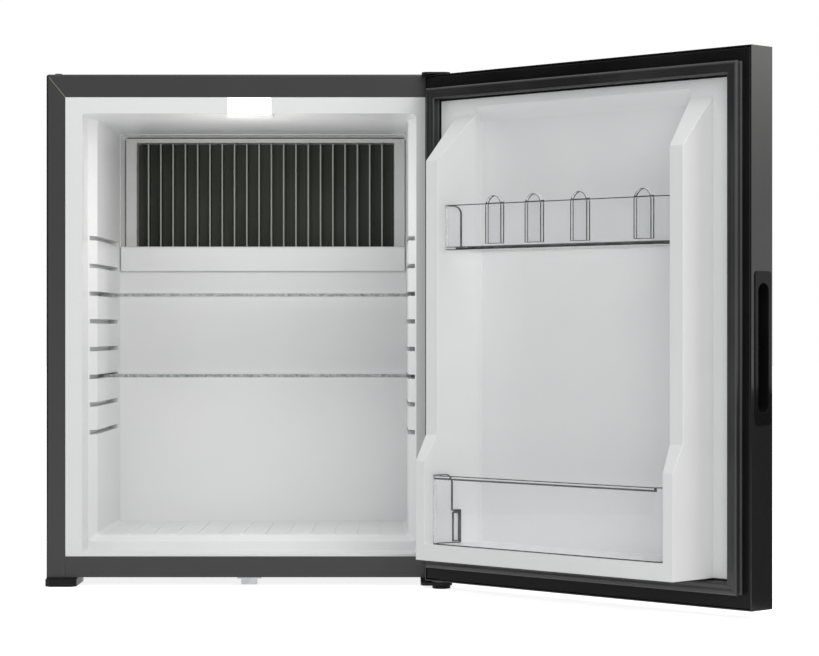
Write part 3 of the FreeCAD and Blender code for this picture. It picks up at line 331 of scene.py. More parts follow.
    def colour(
        self, tree: bpy.types.NodeTree, finish: Finish, share: bpy.types.NodeSocket, shader: bpy.types.Node
    ) -> None:
        """Link the finish's two colours to the shader.

        Args:
            tree: The material's tree.
            finish: The finish.
            share: The share of the second colour.
            shader: The surface shader.
        """
        ramp = tree.nodes.new("ShaderNodeValToRGB")
        ramp.color_ramp.elements[0].color = (*finish.colour, 1.0)
        ramp.color_ramp.elements[1].color = (*finish.second, 1.0)
        tree.links.new(share, ramp.inputs["Fac"])
        tree.links.new(ramp.outputs["Color"], shader.inputs["Base Color"])

    def sheen(
        self, tree: bpy.types.NodeTree, finish: Finish, value: bpy.types.NodeSocket, shader: bpy.types.Node
    ) -> None:
        """Link a varying roughness to the shader.

        Args:
            tree: The material's tree.
            finish: The finish.
            value: What the roughness follows.
            shader: The surface shader.
        """
        rough = self.spread(tree, value, self.sheen_span, finish.roughness)
        tree.links.new(rough, shader.inputs["Roughness"])

    def relief(
        self, tree: bpy.types.NodeTree, finish: Finish, fine: bpy.types.NodeSocket, shader: bpy.types.Node
    ) -> None:
        """Link the fine pattern to the shader as a small relief.

        Args:
            tree: The material's tree.
            finish: The finish.
            fine: The fine pattern.
            shader: The surface shader.
        """
        bump = tree.nodes.new("ShaderNodeBump")
        bump.inputs["Strength"].default_value = finish.bump
        bump.inputs["Distance"].default_value = self.relief_depth
        tree.links.new(fine, bump.inputs["Height"])
        tree.links.new(bump.outputs["Normal"], shader.inputs["Normal"])

    def dress(self, piece: bpy.types.Object, slot: str) -> None:
        """Give a piece one finish and nothing else.

        Args:
            piece: A mesh object.
            slot: The finish's slot.
        """
        piece.data.materials.clear()
        piece.data.materials.append(self.materials[slot])


def settle(piece: bpy.types.Object) -> None:
    """Turn a piece's modifiers into plain mesh.

    Args:
        piece: The piece, which keeps no modifier.
    """
    bpy.context.view_layer.update()
    shown = piece.evaluated_get(bpy.context.evaluated_depsgraph_get())
    made = bpy.data.meshes.new_from_object(shown)
    former = piece.data
    piece.modifiers.clear()
    piece.data = made
    bpy.data.meshes.remove(former)


class NodeWork:
    """Helpers for the geometry trees that make repeated and swept pieces."""

    @staticmethod
    def tree(name: str, inputs: dict[str, str]) -> tuple[bpy.types.NodeTree, dict[str, str]]:
        """Start a geometry tree with named inputs.

        Args:
            name: The tree's name.
            inputs: Input names and their socket types.

        Returns:
            The tree, and each input's identifier by its name.
        """
        tree = bpy.data.node_groups.new(name, "GeometryNodeTree")
        tree.interface.new_socket("Geometry", in_out="INPUT", socket_type="NodeSocketGeometry")
        found = {}
        for label, kind in inputs.items():
            found[label] = tree.interface.new_socket(label, in_out="INPUT", socket_type=kind).identifier
        tree.interface.new_socket("Geometry", in_out="OUTPUT", socket_type="NodeSocketGeometry")
        return tree, found

    @staticmethod
    def close(
        tree: bpy.types.NodeTree, start: bpy.types.Node, geometry: bpy.types.NodeSocket
    ) -> None:
        """End a tree: realize what it instances, and set the material from its input.

        Args:
            tree: The tree.
            start: Its group input node.
            geometry: What the tree has made.
        """
        real = tree.nodes.new("GeometryNodeRealizeInstances")
        tree.links.new(geometry, real.inputs["Geometry"])
        paint = tree.nodes.new("GeometryNodeSetMaterial")
        tree.links.new(real.outputs["Geometry"], paint.inputs["Geometry"])
        tree.links.new(start.outputs["Material"], paint.inputs["Material"])
        out = tree.nodes.new("NodeGroupOutput")
        tree.links.new(paint.outputs["Geometry"], out.inputs["Geometry"])

    @staticmethod
    def bake(
        name: str, base: bpy.types.Mesh, tree: bpy.types.NodeTree, values: dict[str, object]
    ) -> bpy.types.Object:
        """Run a tree on a mesh and keep the result as a plain mesh object.

        Args:
            name: The new piece's name.
            base: The mesh that the tree starts from.
            tree: The tree.
            values: Input values by socket identifier.

        Returns:
            The piece, at the origin and with no modifier.
        """
        piece = bpy.data.objects.new(name, base)
        bpy.context.scene.collection.objects.link(piece)
        modifier = piece.modifiers.new("nodes", "NODES")
        modifier.node_group = tree
        for key, value in values.items():
            modifier[key] = value
        settle(piece)
        return piece


def mesh_of(bm: bmesh.types.BMesh, name: str) -> bpy.types.Mesh:
    """Turn a bmesh into a mesh with its faces outwards.

    Args:
        bm: The bmesh, which is freed.
        name: The mesh's name.

    Returns:
        The mesh.
    """
    bmesh.ops.recalc_face_normals(bm, faces=bm.faces)
    mesh = bpy.data.meshes.new(name)
    bm.to_mesh(mesh)
    bm.free()
    return mesh


def pushed(outline: list[tuple[float, float]], z0: float, z1: float, name: str) -> bpy.types.Mesh:
    """Push a flat outline up from one height to another.

    Args:
        outline: Points in X and Y.
        z0: Lower end.
        z1: Upper end.
        name: The mesh's name.

    Returns:
        A closed mesh.
    """
    bm = bmesh.new()
    low = [bm.verts.new((x, y, z0)) for x, y in outline]
    high = [bm.verts.new((x, y, z1)) for x, y in outline]
    bm.faces.new(low)
    bm.faces.new(high)
    count = len(outline)
    for i in range(count):
        j = (i + 1) % count
        bm.faces.new((low[i], low[j], high[j], high[i]))
    return mesh_of(bm, name)


SOFT_EDGES: tuple[tuple[str, float, int], ...] = (
    ("inner_liner", 0.25, 2),
    ("door_liner", 0.6, 2),
    ("drip_tray", 0.5, 2),
    ("evaporator_frame", 0.2, 2),
    ("door_frame", 0.5, 2),
    ("upper_rack", 0.9, 2),
    ("lower_rack", 0.9, 2),
    ("rack_divider_1", 0.5, 2),
    ("rack_divider_2", 0.5, 2),
    ("rack_divider_3", 0.5, 2),
    ("rack_divider_4", 0.5, 2),
    ("upper_shelf", 0.35, 2),
    ("lower_shelf", 0.35, 2),
    ("handle_insert", 0.7, 3),
    ("front_foot", 0.8, 2),
    ("rear_feet", 0.8, 2),
    ("hinge_foot", 0.5, 2),
    ("lower_hinge_bracket", 0.3, 2),
    ("upper_hinge_plate", 0.3, 2),
    ("front_tab", 0.3, 2),
    ("control_box", 0.8, 2),
    ("control_lid", 0.6, 2),
    ("mains_inlet", 0.3, 2),
    ("drip_cup", 0.5, 2),
    ("absorber_saddles", 0.4, 2),
    ("condenser_clips", 0.4, 2),
    ("boiler_casing", 0.5, 2),
)
CRISP_DEGREES: dict[str, float] = {"inner_liner": 10.5}


@dataclass
class Mouldings:
    """Copies of CAD pieces whose sharp edges are rounded as a mould or a press leaves them."""

    paintbox: Paintbox
    bodies: dict[str, str]
    slots: dict[str, str]
    weld: float = 0.002 * MM
    flat_degrees: float = 0.6
    edge_degrees: float = 28.0
    sharp_degrees: float = 50.0
    glass_rim: float = 3.6 * MM
    plastic_rim: float = 3.0 * MM
    rim_share: float = 0.25
    level_weight: int = 100

    def soften(self, node: bpy.types.Object, width: float, segments: int) -> bpy.types.Object:
        """Stand a rounded copy in for a CAD node.

        Args:
            node: The CAD node's object.
            width: Width of the rounding.
            segments: Steps of the rounding.

        Returns:
            The new piece.
        """
        slot = self.slots[node.name]
        clear = slot in self.paintbox.painted_rims
        rim = self.glass_rim if slot == "clear_glass" else self.plastic_rim
        bm = bmesh.new()
        bm.from_mesh(node.data)
        bmesh.ops.remove_doubles(bm, verts=bm.verts, dist=self.weld)
        flat = math.radians(self.flat_degrees)
        bmesh.ops.dissolve_limit(bm, angle_limit=flat, verts=bm.verts, edges=bm.edges, delimit={"NORMAL"})
        for face in bm.faces:
            face.smooth = True
            # Narrow rim faces of clear pieces get the rim finish: a painted dark edge with painted glints.
            face.material_index = 1 if clear and self.narrow(face, rim) else 0
        mesh = bpy.data.meshes.new(node.name + "_moulded")
        bm.to_mesh(mesh)
        bm.free()
        mesh.materials.append(self.paintbox.materials[slot])
        if clear:
            mesh.materials.append(self.paintbox.painted_rims[slot])
        piece = bpy.data.objects.new(node.name + "_moulded", mesh)
        bpy.context.scene.collection.objects.link(piece)
        bevel = piece.modifiers.new("edges", "BEVEL")
        bevel.width = width
        bevel.segments = segments
        bevel.limit_method = "ANGLE"
        bevel.angle_limit = math.radians(self.edge_degrees)
        bevel.use_clamp_overlap = not clear
        # On clear pieces the bevels take the painted dark rim too.
        bevel.material = 1 if clear else -1
        settle(piece)
        crisp = CRISP_DEGREES.get(node.name, self.sharp_degrees)
        piece.data.set_sharp_from_angle(angle=math.radians(crisp))
        level = piece.modifiers.new("level_normals", "WEIGHTED_NORMAL")
        level.keep_sharp = True
        level.weight = self.level_weight
        settle(piece)
        piece.visible_shadow = not clear
        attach(piece, self.bodies[node.name])
        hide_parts(node.name)
        LOG.info("%s: %d faces", piece.name, len(piece.data.polygons))
        return piece

    def narrow(self, face: bmesh.types.BMFace, rim: float) -> bool:
        """Tell a sheet's cut rim from its broad faces and from the steps of its bends.

        Args:
            face: A face of a clear piece.
            rim: The widest that a cut rim can be.

        Returns:
            True where the face is no wider than a cut rim and lies between sharp edges.
        """
        length = face.calc_perimeter()
        if face.calc_area() / (length / 2) > rim:
            return False
        limit = math.radians(self.sharp_degrees)
        sharp = sum(e.calc_length() for e in face.edges if e.calc_face_angle(0.0) > limit)
        return sharp > self.rim_share * length


@dataclass
class EvaporatorFins:
    """The evaporator: a plate with upright fins whose front edges are rolled."""

    paintbox: Paintbox
    count: int = 20
    pitch: float = 13.52 * MM
    thickness: float = 1.1 * MM
    bead: float = 0.9 * MM
    bead_steps: int = 12
    plate: float = 3.0 * MM

    def build(self) -> bpy.types.Object:
        """Make the fins in a row on their plate.

        Returns:
            The piece that stands for the CAD fins.
        """
        low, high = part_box("evaporator_fins")
        plate_front = high.y - self.plate
        half = self.thickness / 2
        centre = low.y + self.bead
        neck = math.pi - math.asin(half / self.bead)
        angles = [neck * (2 * i / self.bead_steps - 1) for i in range(self.bead_steps + 1)]
        bead = [(self.bead * math.sin(a), centre - self.bead * math.cos(a)) for a in angles]
        outline = [(-half, plate_front), *bead, (half, plate_front)]
        fin = pushed(outline, low.z, high.z, "fin")
        tree, ids = NodeWork.tree(
            "fin_row",
            {
                "Count": "NodeSocketInt",
                "Pitch": "NodeSocketFloat",
                "First": "NodeSocketFloat",
                "Plate Size": "NodeSocketVector",
                "Plate Place": "NodeSocketVector",
                "Material": "NodeSocketMaterial",
            },
        )
        start = tree.nodes.new("NodeGroupInput")
        first = tree.nodes.new("ShaderNodeCombineXYZ")
        step = tree.nodes.new("ShaderNodeCombineXYZ")
        tree.links.new(start.outputs["First"], first.inputs["X"])
        tree.links.new(start.outputs["Pitch"], step.inputs["X"])
        line = tree.nodes.new("GeometryNodeMeshLine")
        tree.links.new(start.outputs["Count"], line.inputs["Count"])
        tree.links.new(first.outputs["Vector"], line.inputs["Start Location"])
        tree.links.new(step.outputs["Vector"], line.inputs["Offset"])
        put = tree.nodes.new("GeometryNodeInstanceOnPoints")
        tree.links.new(line.outputs["Mesh"], put.inputs["Points"])
        tree.links.new(start.outputs["Geometry"], put.inputs["Instance"])
        sheet = tree.nodes.new("GeometryNodeMeshCube")
        tree.links.new(start.outputs["Plate Size"], sheet.inputs["Size"])
        move = tree.nodes.new("GeometryNodeTransform")
        tree.links.new(sheet.outputs["Mesh"], move.inputs["Geometry"])
        tree.links.new(start.outputs["Plate Place"], move.inputs["Translation"])
        join = tree.nodes.new("GeometryNodeJoinGeometry")
        tree.links.new(put.outputs["Instances"], join.inputs["Geometry"])
        tree.links.new(move.outputs["Geometry"], join.inputs["Geometry"])
        NodeWork.close(tree, start, join.outputs["Geometry"])
        size = (high.x - low.x, self.plate, high.z - low.z)
        place = (0.0, high.y - self.plate / 2, (low.z + high.z) / 2)
        piece = NodeWork.bake(
            "evaporator_fin_row",
            fin,
            tree,
            {
                ids["Count"]: self.count,
                ids["Pitch"]: self.pitch,
                ids["First"]: -self.pitch * (self.count - 1) / 2,
                ids["Plate Size"]: size,
                ids["Plate Place"]: place,
                # Dark fins with lighter front edges: painted shade between them, painted highlight on the
                # edges.
                ids["Material"]: self.paintbox.materials["coated_fins"],
            },
        )
        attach(piece, "cabinet")
        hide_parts("evaporator_fins")
        LOG.info("%s: %d faces", piece.name, len(piece.data.polygons))
        return piece


@dataclass
class CondenserFins:
    """Plate fins with flared collars, threaded on the condenser pipe."""

    paintbox: Paintbox
    count: int = 18
    thickness: float = 0.8 * MM
    pipe: float = 8.0 * MM
    collar: float = 2.6 * MM
    collar_wall: float = 0.7 * MM
    flare_share: float = 0.4
    steps: int = 48

    def fin(self, low: Vector, high: Vector) -> bpy.types.Mesh:
        """Make the first fin, with its hole and collar.

        Args:
            low: Lowest corner of the CAD fins.
            high: Highest corner.

        Returns:
            The fin's mesh.
        """
        middle = (low + high) / 2
        half = Vector((0.0, (high.y - low.y) / 2, (high.z - low.z) / 2))
        back = low.x + self.thickness
        tip = back + self.collar
        outer = self.pipe + self.collar_wall
        rings: list[tuple[float, float | None]] = [
            (low.x, self.pipe), (low.x, None), (back, None), (back, outer + self.collar_wall),
            (back + self.flare_share * self.collar, outer), (tip, outer), (tip, self.pipe),
        ]
        bm = bmesh.new()
        loops = []
        for x, radius in rings:
            loop = []
            for i in range(self.steps):
                angle = 2 * math.pi * (i + 0.5) / self.steps
                dy, dz = math.cos(angle), math.sin(angle)
                reach = radius
                if reach is None:
                    reach = min(half.y / abs(dy), half.z / abs(dz))
                loop.append(bm.verts.new((x, middle.y + dy * reach, middle.z + dz * reach)))
            loops.append(loop)
        for a, b in zip(loops, loops[1:] + loops[:1]):
            for i in range(self.steps):
                j = (i + 1) % self.steps
                bm.faces.new((a[i], a[j], b[j], b[i]))
        return mesh_of(bm, "condenser_fin")

    def build(self) -> bpy.types.Object:
        """Make the row of fins.

        Returns:
            The piece that stands for the CAD fins.
        """
        low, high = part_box("condenser_fins")
        pitch = (high.x - low.x - self.thickness) / (self.count - 1)
        tree, ids = NodeWork.tree(
            "collared_fins",
            {"Count": "NodeSocketInt", "Pitch": "NodeSocketFloat", "Material": "NodeSocketMaterial"},
        )
        start = tree.nodes.new("NodeGroupInput")
        step = tree.nodes.new("ShaderNodeCombineXYZ")
        tree.links.new(start.outputs["Pitch"], step.inputs["X"])
        line = tree.nodes.new("GeometryNodeMeshLine")
        tree.links.new(start.outputs["Count"], line.inputs["Count"])
        tree.links.new(step.outputs["Vector"], line.inputs["Offset"])
        put = tree.nodes.new("GeometryNodeInstanceOnPoints")
        tree.links.new(line.outputs["Mesh"], put.inputs["Points"])
        tree.links.new(start.outputs["Geometry"], put.inputs["Instance"])
        NodeWork.close(tree, start, put.outputs["Instances"])
        piece = NodeWork.bake(
            "condenser_fin_row",
            self.fin(low, high),
            tree,
            {
                ids["Count"]: self.count,
                ids["Pitch"]: pitch,
                ids["Material"]: self.paintbox.materials["black_pipework"],
            },
        )
        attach(piece, "cabinet")
        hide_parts("condenser_fins")
        LOG.info("%s: %d faces", piece.name, len(piece.data.polygons))
        return piece


@dataclass
class Screws:
    """Pan-head screws with a cross recess."""

    paintbox: Paintbox
    head: float = 4.0 * MM
    height: float = 2.2 * MM
    shank: float = 1.95 * MM
    length: float = 9.0 * MM
    recess: float = 4.4 * MM
    slot_width: float = 0.9 * MM
    recess_share: float = 0.25
    tip_share: float = 0.6
    straight_share: float = 0.85
    dome_shares: tuple[tuple[float, float], ...] = ((1.0, 0.45), (0.92, 0.72), (0.7, 0.92), (0.0, 1.0))
    apart: float = 3.0
    wide_share: float = 1.5
    steps: int = 24

    def pattern(self) -> bpy.types.Object:
        """Make one screw that points up, its head's seat at the origin.

        Returns:
            A scratch object.
        """
        profile = [
            (0.0, -self.length), (self.tip_share * self.shank, -self.length),
            (self.shank, -self.straight_share * self.length), (self.shank, 0.0), (self.head, 0.0),
        ]
        profile += [(across * self.head, up * self.height) for across, up in self.dome_shares]
        bm = bmesh.new()
        loops = []
        for radius, z in profile:
            if radius == 0.0:
                loops.append([bm.verts.new((0.0, 0.0, z))])
                continue
            angles = [2 * math.pi * i / self.steps for i in range(self.steps)]
            loops.append([bm.verts.new((radius * math.cos(a), radius * math.sin(a), z)) for a in angles])
        for a, b in zip(loops, loops[1:]):
            for i in range(self.steps):
                j = (i + 1) % self.steps
                corners = [a[i % len(a)], a[j % len(a)], b[j % len(b)], b[i % len(b)]]
                bm.faces.new(list(dict.fromkeys(corners)))
        piece = bpy.data.objects.new("screw_pattern", mesh_of(bm, "screw_pattern"))
        bpy.context.scene.collection.objects.link(piece)
        half = self.slot_width / 2
        arm = self.recess / 2
        cross = [
            (half, half), (half, arm), (-half, arm), (-half, half), (-arm, half), (-arm, -half),
            (-half, -half), (-half, -arm), (half, -arm), (half, -half), (arm, -half), (arm, half),
        ]
        bottom = self.recess_share * self.height
        cutter_mesh = pushed(cross, bottom, 2 * self.height, "cross_cutter")
        cutter = bpy.data.objects.new("cross_cutter", cutter_mesh)
        bpy.context.scene.collection.objects.link(cutter)
        cut = piece.modifiers.new("recess", "BOOLEAN")
        cut.object = cutter
        cut.operation = "DIFFERENCE"
        cut.solver = "EXACT"
        settle(piece)
        bpy.data.objects.remove(cutter)
        return piece

    def seats(self, node: bpy.types.Object, axis: int, way: int) -> list[Vector]:
        """Find the head seats of a CAD node's screws.

        Args:
            node: The CAD node with the screws.
            axis: The axis that the screws stand along.
            way: 1 where heads lead up the axis, -1 where they lead down it.

        Returns:
            The middle of each head's seat.
        """
        others = [i for i in range(3) if i != axis]
        beside, along = self.apart * self.head, self.apart * self.length
        groups: list[list[Vector]] = []
        for vertex in node.data.vertices:
            point = vertex.co
            for group in groups:
                gap = point - group[0]
                if max(abs(gap[i]) for i in others) < beside and abs(gap[axis]) < along:
                    group.append(point.copy())
                    break
            else:
                groups.append([point.copy()])
        found = []
        for group in groups:
            low = [min(p[i] for p in group) for i in range(3)]
            high = [max(p[i] for p in group) for i in range(3)]
            seat = Vector([(a + b) / 2 for a, b in zip(low, high)])
            edge = self.wide_share * self.shank
            wide = [p[axis] for p in group if max(abs(p[i] - seat[i]) for i in others) > edge]
            seat[axis] = min(wide) if way > 0 else max(wide)
            found.append(seat)
        return found

    def build(
        self, name: str, seats: list[Vector], turn: Vector, head: bpy.types.Object
    ) -> bpy.types.Object:
        """Put a screw on every seat.

        Args:
            name: The new piece's name.
            seats: The head seats.
            turn: Rotation from pointing up, in radians about X, Y and Z.
            head: The pattern screw.

        Returns:
            The piece, not yet riding on a body.
        """
        tree, ids = NodeWork.tree(
            name + "_nodes",
            {"Screw": "NodeSocketObject", "Turn": "NodeSocketVector", "Material": "NodeSocketMaterial"},
        )
        start = tree.nodes.new("NodeGroupInput")
        info = tree.nodes.new("GeometryNodeObjectInfo")
        tree.links.new(start.outputs["Screw"], info.inputs["Object"])
        put = tree.nodes.new("GeometryNodeInstanceOnPoints")
        tree.links.new(start.outputs["Geometry"], put.inputs["Points"])
        tree.links.new(info.outputs["Geometry"], put.inputs["Instance"])
        tree.links.new(start.outputs["Turn"], put.inputs["Rotation"])
        NodeWork.close(tree, start, put.outputs["Instances"])
        points = bpy.data.meshes.new(name)
        points.from_pydata([tuple(p) for p in seats], [], [])
        piece = NodeWork.bake(
            name,
            points,
            tree,
            {
                ids["Screw"]: head,
                ids["Turn"]: tuple(turn),
                ids["Material"]: self.paintbox.materials["zinc_steel"],
            },
        )
        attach(piece, "cabinet")
        LOG.info("%s: %d screws", piece.name, len(seats))
        return piece

    def fit(self, nodes: dict[str, bpy.types.Object]) -> None:
        """Replace the rear panel's screws and the hinge screws.

        Args:
            nodes: The CAD nodes by name.
        """
        head = self.pattern()
        seats = self.seats(nodes["rear_screws"], 1, 1)
        rear = self.build("rear_panel_screws", seats, Vector((-math.pi / 2, 0, 0)), head)
        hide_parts("rear_screws")
        seats = self.seats(nodes["hinge_screws"], 2, -1)
        hinge = self.build("bracket_screws", seats, Vector((math.pi, 0, 0)), head)
        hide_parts("hinge_screws")
        bpy.data.objects.remove(head)


@dataclass
class DoorGasket:
    """Black magnetic gasket: a base, two soft pleats and a bead, swept round the door."""

    paintbox: Paintbox
    half_width: float = 185.25 * MM
    half_height: float = 228.25 * MM
    face: float = -10.0 * MM
    pin: tuple[float, float] = (190.0 * MM, -22.5 * MM)
    open_degrees: float = 135.0

    def section(self) -> list[tuple[float, float]]:
        """Give the gasket's section: across its line, and out of the door, in millimetres.

        Returns:
            The points, anticlockwise.
        """
        side = [
            (2.0, -2.5), (2.0, -0.2), (5.2, -0.05), (5.7, 0.4), (5.6, 1.3), (4.9, 2.1), (3.3, 2.6),
            (2.9, 3.0), (3.6, 3.5), (4.3, 3.9), (3.9, 4.4), (3.1, 4.8), (3.4, 5.2), (5.0, 5.6),
            (5.7, 6.5), (5.7, 7.9), (5.2, 8.9), (4.2, 9.5), (2.6, 9.7), (1.0, 9.45),
        ]
        return side + [(0.0, 9.35)] + [(-x, y) for x, y in reversed(side)]

    def build(self) -> bpy.types.Object:
        """Run the section round the door with mitred corners, and turn it to where the door stands.

        Returns:
            The piece that stands for the CAD gasket.
        """
        low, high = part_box("door_skin")
        middle = (low.z + high.z) / 2
        bm = bmesh.new()
        rings = []
        for across, out in self.section():
            x = self.half_width + across * MM
            z = self.half_height + across * MM
            y = self.face + out * MM
            corners = ((x, -z), (x, z), (-x, z), (-x, -z))
            rings.append([bm.verts.new((cx, y, middle + cz)) for cx, cz in corners])
        for a, b in zip(rings, rings[1:] + rings[:1]):
            for i in range(4):
                j = (i + 1) % 4
                face = bm.faces.new((a[i], a[j], b[j], b[i]))
                face.smooth = True
            for p, q in zip(a, b):
                bm.edges.get((p, q)).smooth = False
        mesh = mesh_of(bm, "gasket_bellows")
        pin = Vector((*self.pin, 0.0))
        swing = Matrix.Translation(pin) @ Matrix.Rotation(math.radians(self.open_degrees), 4, "Z")
        mesh.transform(swing @ Matrix.Translation(-pin))
        piece = bpy.data.objects.new("gasket_bellows", mesh)
        bpy.context.scene.collection.objects.link(piece)
        self.paintbox.dress(piece, "black_rubber")
        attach(piece, "door")
        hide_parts("door_gasket")
        LOG.info("%s: %d faces", piece.name, len(piece.data.polygons))
        return piece


@dataclass(frozen=True)
class Softbox:
    """A rectangular soft light: where it stands, its size, watts and colour, and what it points at."""

    name: str
    place: Place
    size: tuple[float, float]
    power: float
    tint: Colour
    aim: Place = (0.1, 0.0, 0.26)


@dataclass(frozen=True)
class Glow:
    """A share of the cabinet lamp's light, spread through the cabinet without showing a bulb."""

    name: str
    place: Place
    power: float
    radius: float = 0.07


@dataclass(frozen=True)
class Card:
    """A black card that stands along the fridge's side and shows only in reflections."""

    name: str
    x: float
    front: float
    back: float
    height: float


WARM: Colour = (1.0, 0.99, 0.97)
COOL: Colour = (0.88, 0.94, 1.0)
SOFTBOXES: tuple[Softbox, ...] = (
    Softbox("key", (1.1, -2.5, 1.3), (1.4, 1.2), 15.0, WARM),
    Softbox("top", (0.3, -1.3, 2.4), (1.4, 1.0), 12.0, WARM),
    Softbox("fill", (-1.6, -2.4, 1.0), (1.4, 1.4), 5.5, COOL),
    Softbox("edge", (1.6, -0.4, 0.95), (1.2, 0.8), 5.5, WARM, aim=(0.45, -0.3, 0.4)),
)
GLOWS: tuple[Glow, ...] = (
    Glow("cabinet_glow_high", (0.0, 0.02, 0.38), 0.44),
    Glow("cabinet_glow_low", (0.0, 0.0, 0.14), 0.08),
)
CARDS: tuple[Card, ...] = (
    Card("left_flag", x=-0.9, front=-1.7, back=0.3, height=1.2),
    Card("right_flag", x=0.52, front=-0.45, back=-0.17, height=0.20),
)


@dataclass
class Studio:
    """Camera, soft lights, black cards, pale floor and white background."""

    lens: float = 114.55
    sensor: float = 36.0
    sight: float = 100.0
    eye: tuple[float, float] = (0.1587, -2.58)
    floor_size: float = 30.0
    floor_grey: float = 0.80
    floor_lift: float = 0.86
    card_grey: float = 0.004
    world_fill: float = 0.50

    def camera(self) -> None:
        """Place the camera level with the door's middle, looking along +Y."""
        data = bpy.data.cameras.new("camera")
        data.lens = self.lens
        data.sensor_width = self.sensor
        data.clip_end = self.sight
        camera = bpy.data.objects.new("camera", data)
        low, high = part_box("door_skin")
        camera.location = (*self.eye, (low.z + high.z) / 2)
        camera.rotation_euler = (math.pi / 2, 0.0, 0.0)
        bpy.context.scene.collection.objects.link(camera)
        bpy.context.scene.camera = camera

    def softbox(self, box: Softbox) -> None:
        """Add a rectangular softbox.

        Args:
            box: The light.
        """
        data = bpy.data.lights.new(box.name, "AREA")
        data.shape = "RECTANGLE"
        data.size, data.size_y = box.size
        data.energy = box.power
        data.color = box.tint
        light = bpy.data.objects.new(box.name, data)
        light.location = box.place
        light.rotation_euler = (Vector(box.aim) - Vector(box.place)).to_track_quat("-Z", "Y").to_euler()
        bpy.context.scene.collection.objects.link(light)

    def seen(self, tree: bpy.types.NodeTree) -> bpy.types.NodeSocket:
        """Say which rays look at the background itself.

        Args:
            tree: The world's or a material's tree.

        Returns:
            1 for camera, glossy and transmission rays that have met no matt surface, 0 for the rest.
        """
        path = tree.nodes.new("ShaderNodeLightPath")
        last = path.outputs["Is Camera Ray"]
        for label in ("Is Glossy Ray", "Is Transmission Ray"):
            most = tree.nodes.new("ShaderNodeMath")
            most.operation = "MAXIMUM"
            tree.links.new(last, most.inputs[0])
            tree.links.new(path.outputs[label], most.inputs[1])
            last = most.outputs["Value"]
        first = tree.nodes.new("ShaderNodeMath")
        first.operation = "LESS_THAN"
        first.inputs[1].default_value = 0.5
        tree.links.new(path.outputs["Diffuse Depth"], first.inputs[0])
        both = tree.nodes.new("ShaderNodeMath")
        both.operation = "MULTIPLY"
        tree.links.new(last, both.inputs[0])
        tree.links.new(first.outputs["Value"], both.inputs[1])
        return both.outputs["Value"]

    def world(self) -> None:
        """Light the room softly, with a plain white background."""
        world = bpy.data.worlds.new("studio")
        world.use_nodes = True
        tree = world.node_tree
        tree.nodes.clear()
        out = tree.nodes.new("ShaderNodeOutputWorld")
        fill = tree.nodes.new("ShaderNodeBackground")
        fill.inputs["Color"].default_value = (1.0, 1.0, 1.0, 1.0)
        fill.inputs["Strength"].default_value = self.world_fill
        plain = tree.nodes.new("ShaderNodeBackground")
        plain.inputs["Color"].default_value = (1.0, 1.0, 1.0, 1.0)
        plain.inputs["Strength"].default_value = 1.0
        mix = tree.nodes.new("ShaderNodeMixShader")
        tree.links.new(self.seen(tree), mix.inputs["Fac"])
        tree.links.new(fill.outputs["Background"], mix.inputs[1])
        tree.links.new(plain.outputs["Background"], mix.inputs[2])
        tree.links.new(mix.outputs["Shader"], out.inputs["Surface"])
        bpy.context.scene.world = world

    def floor(self) -> None:
        """Lay a white floor that keeps the fridge's shadow."""
        bm = bmesh.new()
        bmesh.ops.create_grid(bm, x_segments=1, y_segments=1, size=self.floor_size / 2)
        mesh = bpy.data.meshes.new("floor")
        bm.to_mesh(mesh)
        bm.free()
        floor = bpy.data.objects.new("floor", mesh)
        bpy.context.scene.collection.objects.link(floor)
        material = bpy.data.materials.new("studio_floor")
        material.use_nodes = True
        tree = material.node_tree
        tree.nodes.clear()
        out = tree.nodes.new("ShaderNodeOutputMaterial")
        cover = tree.nodes.new("ShaderNodeBsdfDiffuse")
        cover.inputs["Color"].default_value = (*[self.floor_grey] * 3, 1.0)
        lift = tree.nodes.new("ShaderNodeEmission")
        lift.inputs["Color"].default_value = (1.0, 1.0, 1.0, 1.0)
        level = tree.nodes.new("ShaderNodeMath")
        level.operation = "MULTIPLY"
        level.inputs[1].default_value = self.floor_lift
        tree.links.new(self.seen(tree), level.inputs[0])
        tree.links.new(level.outputs["Value"], lift.inputs["Strength"])
        add = tree.nodes.new("ShaderNodeAddShader")
        tree.links.new(cover.outputs["BSDF"], add.inputs[0])
        tree.links.new(lift.outputs["Emission"], add.inputs[1])
        tree.links.new(add.outputs["Shader"], out.inputs["Surface"])
        mesh.materials.append(material)

    def build(self) -> None:
        """Set up everything that isn't the fridge."""
        bpy.context.scene.view_settings.view_transform = "Standard"
        self.camera()
        self.world()
        self.floor()
        for card in CARDS:
            self.flag(card)
        for box in SOFTBOXES:
            self.softbox(box)
        for glow in GLOWS:
            self.glow(glow)

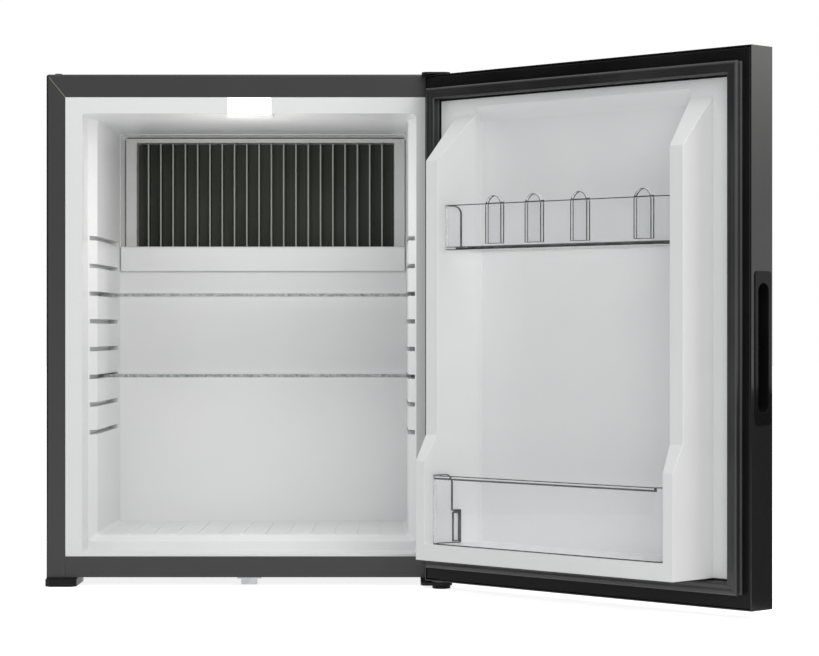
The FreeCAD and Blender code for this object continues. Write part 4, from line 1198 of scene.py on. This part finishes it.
    def glow(self, glow: Glow) -> None:
        """Hang one share of the cabinet lamp's light.

        Args:
            glow: The light.
        """
        data = bpy.data.lights.new(glow.name, "POINT")
        data.energy = glow.power
        data.shadow_soft_size = glow.radius
        data.color = WARM
        light = bpy.data.objects.new(glow.name, data)
        light.location = glow.place
        for kind in ("camera", "glossy", "transmission"):
            setattr(light, "visible_" + kind, False)
        bpy.context.scene.collection.objects.link(light)

    def flag(self, card: Card) -> None:
        """Stand a black card beside the fridge.

        Args:
            card: The card.
        """
        bm = bmesh.new()
        corners = ((card.front, 0.0), (card.back, 0.0), (card.back, card.height), (card.front, card.height))
        bm.faces.new([bm.verts.new((card.x, y, z)) for y, z in corners])
        mesh = bpy.data.meshes.new(card.name)
        bm.to_mesh(mesh)
        bm.free()
        flag = bpy.data.objects.new(card.name, mesh)
        bpy.context.scene.collection.objects.link(flag)
        material = bpy.data.materials.new(card.name)
        material.use_nodes = True
        shader = material.node_tree.nodes["Principled BSDF"]
        shader.inputs["Base Color"].default_value = (*[self.card_grey] * 3, 1.0)
        shader.inputs["Roughness"].default_value = 1.0
        shader.inputs["Specular IOR Level"].default_value = 0.0
        mesh.materials.append(material)
        for kind in ("camera", "diffuse", "transmission", "shadow", "volume_scatter"):
            setattr(flag, "visible_" + kind, False)


def main() -> None:
    """Load the frame, dress every piece, and set up the studio."""
    logging.basicConfig(level=logging.INFO, format="%(message)s")
    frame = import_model()
    nodes: dict[str, bpy.types.Object] = frame["nodes"]
    record = frame["record"]
    slots = {row["node"]: row["material_slot"] for row in record["subparts"]}
    bodies = {name: body for body, members in record["behaviour"]["bodies"].items() for name in members}
    paintbox = Paintbox(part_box("evaporator_fins")[0].y)
    for name, node in nodes.items():
        paintbox.dress(node, slots[name])
    mouldings = Mouldings(paintbox, bodies, slots)
    for name, width, segments in SOFT_EDGES:
        mouldings.soften(nodes[name], width * MM, segments)
    EvaporatorFins(paintbox).build()
    CondenserFins(paintbox).build()
    Screws(paintbox).fit(nodes)
    DoorGasket(paintbox).build()
    Studio().build()


if __name__ == "__main__":
    main()
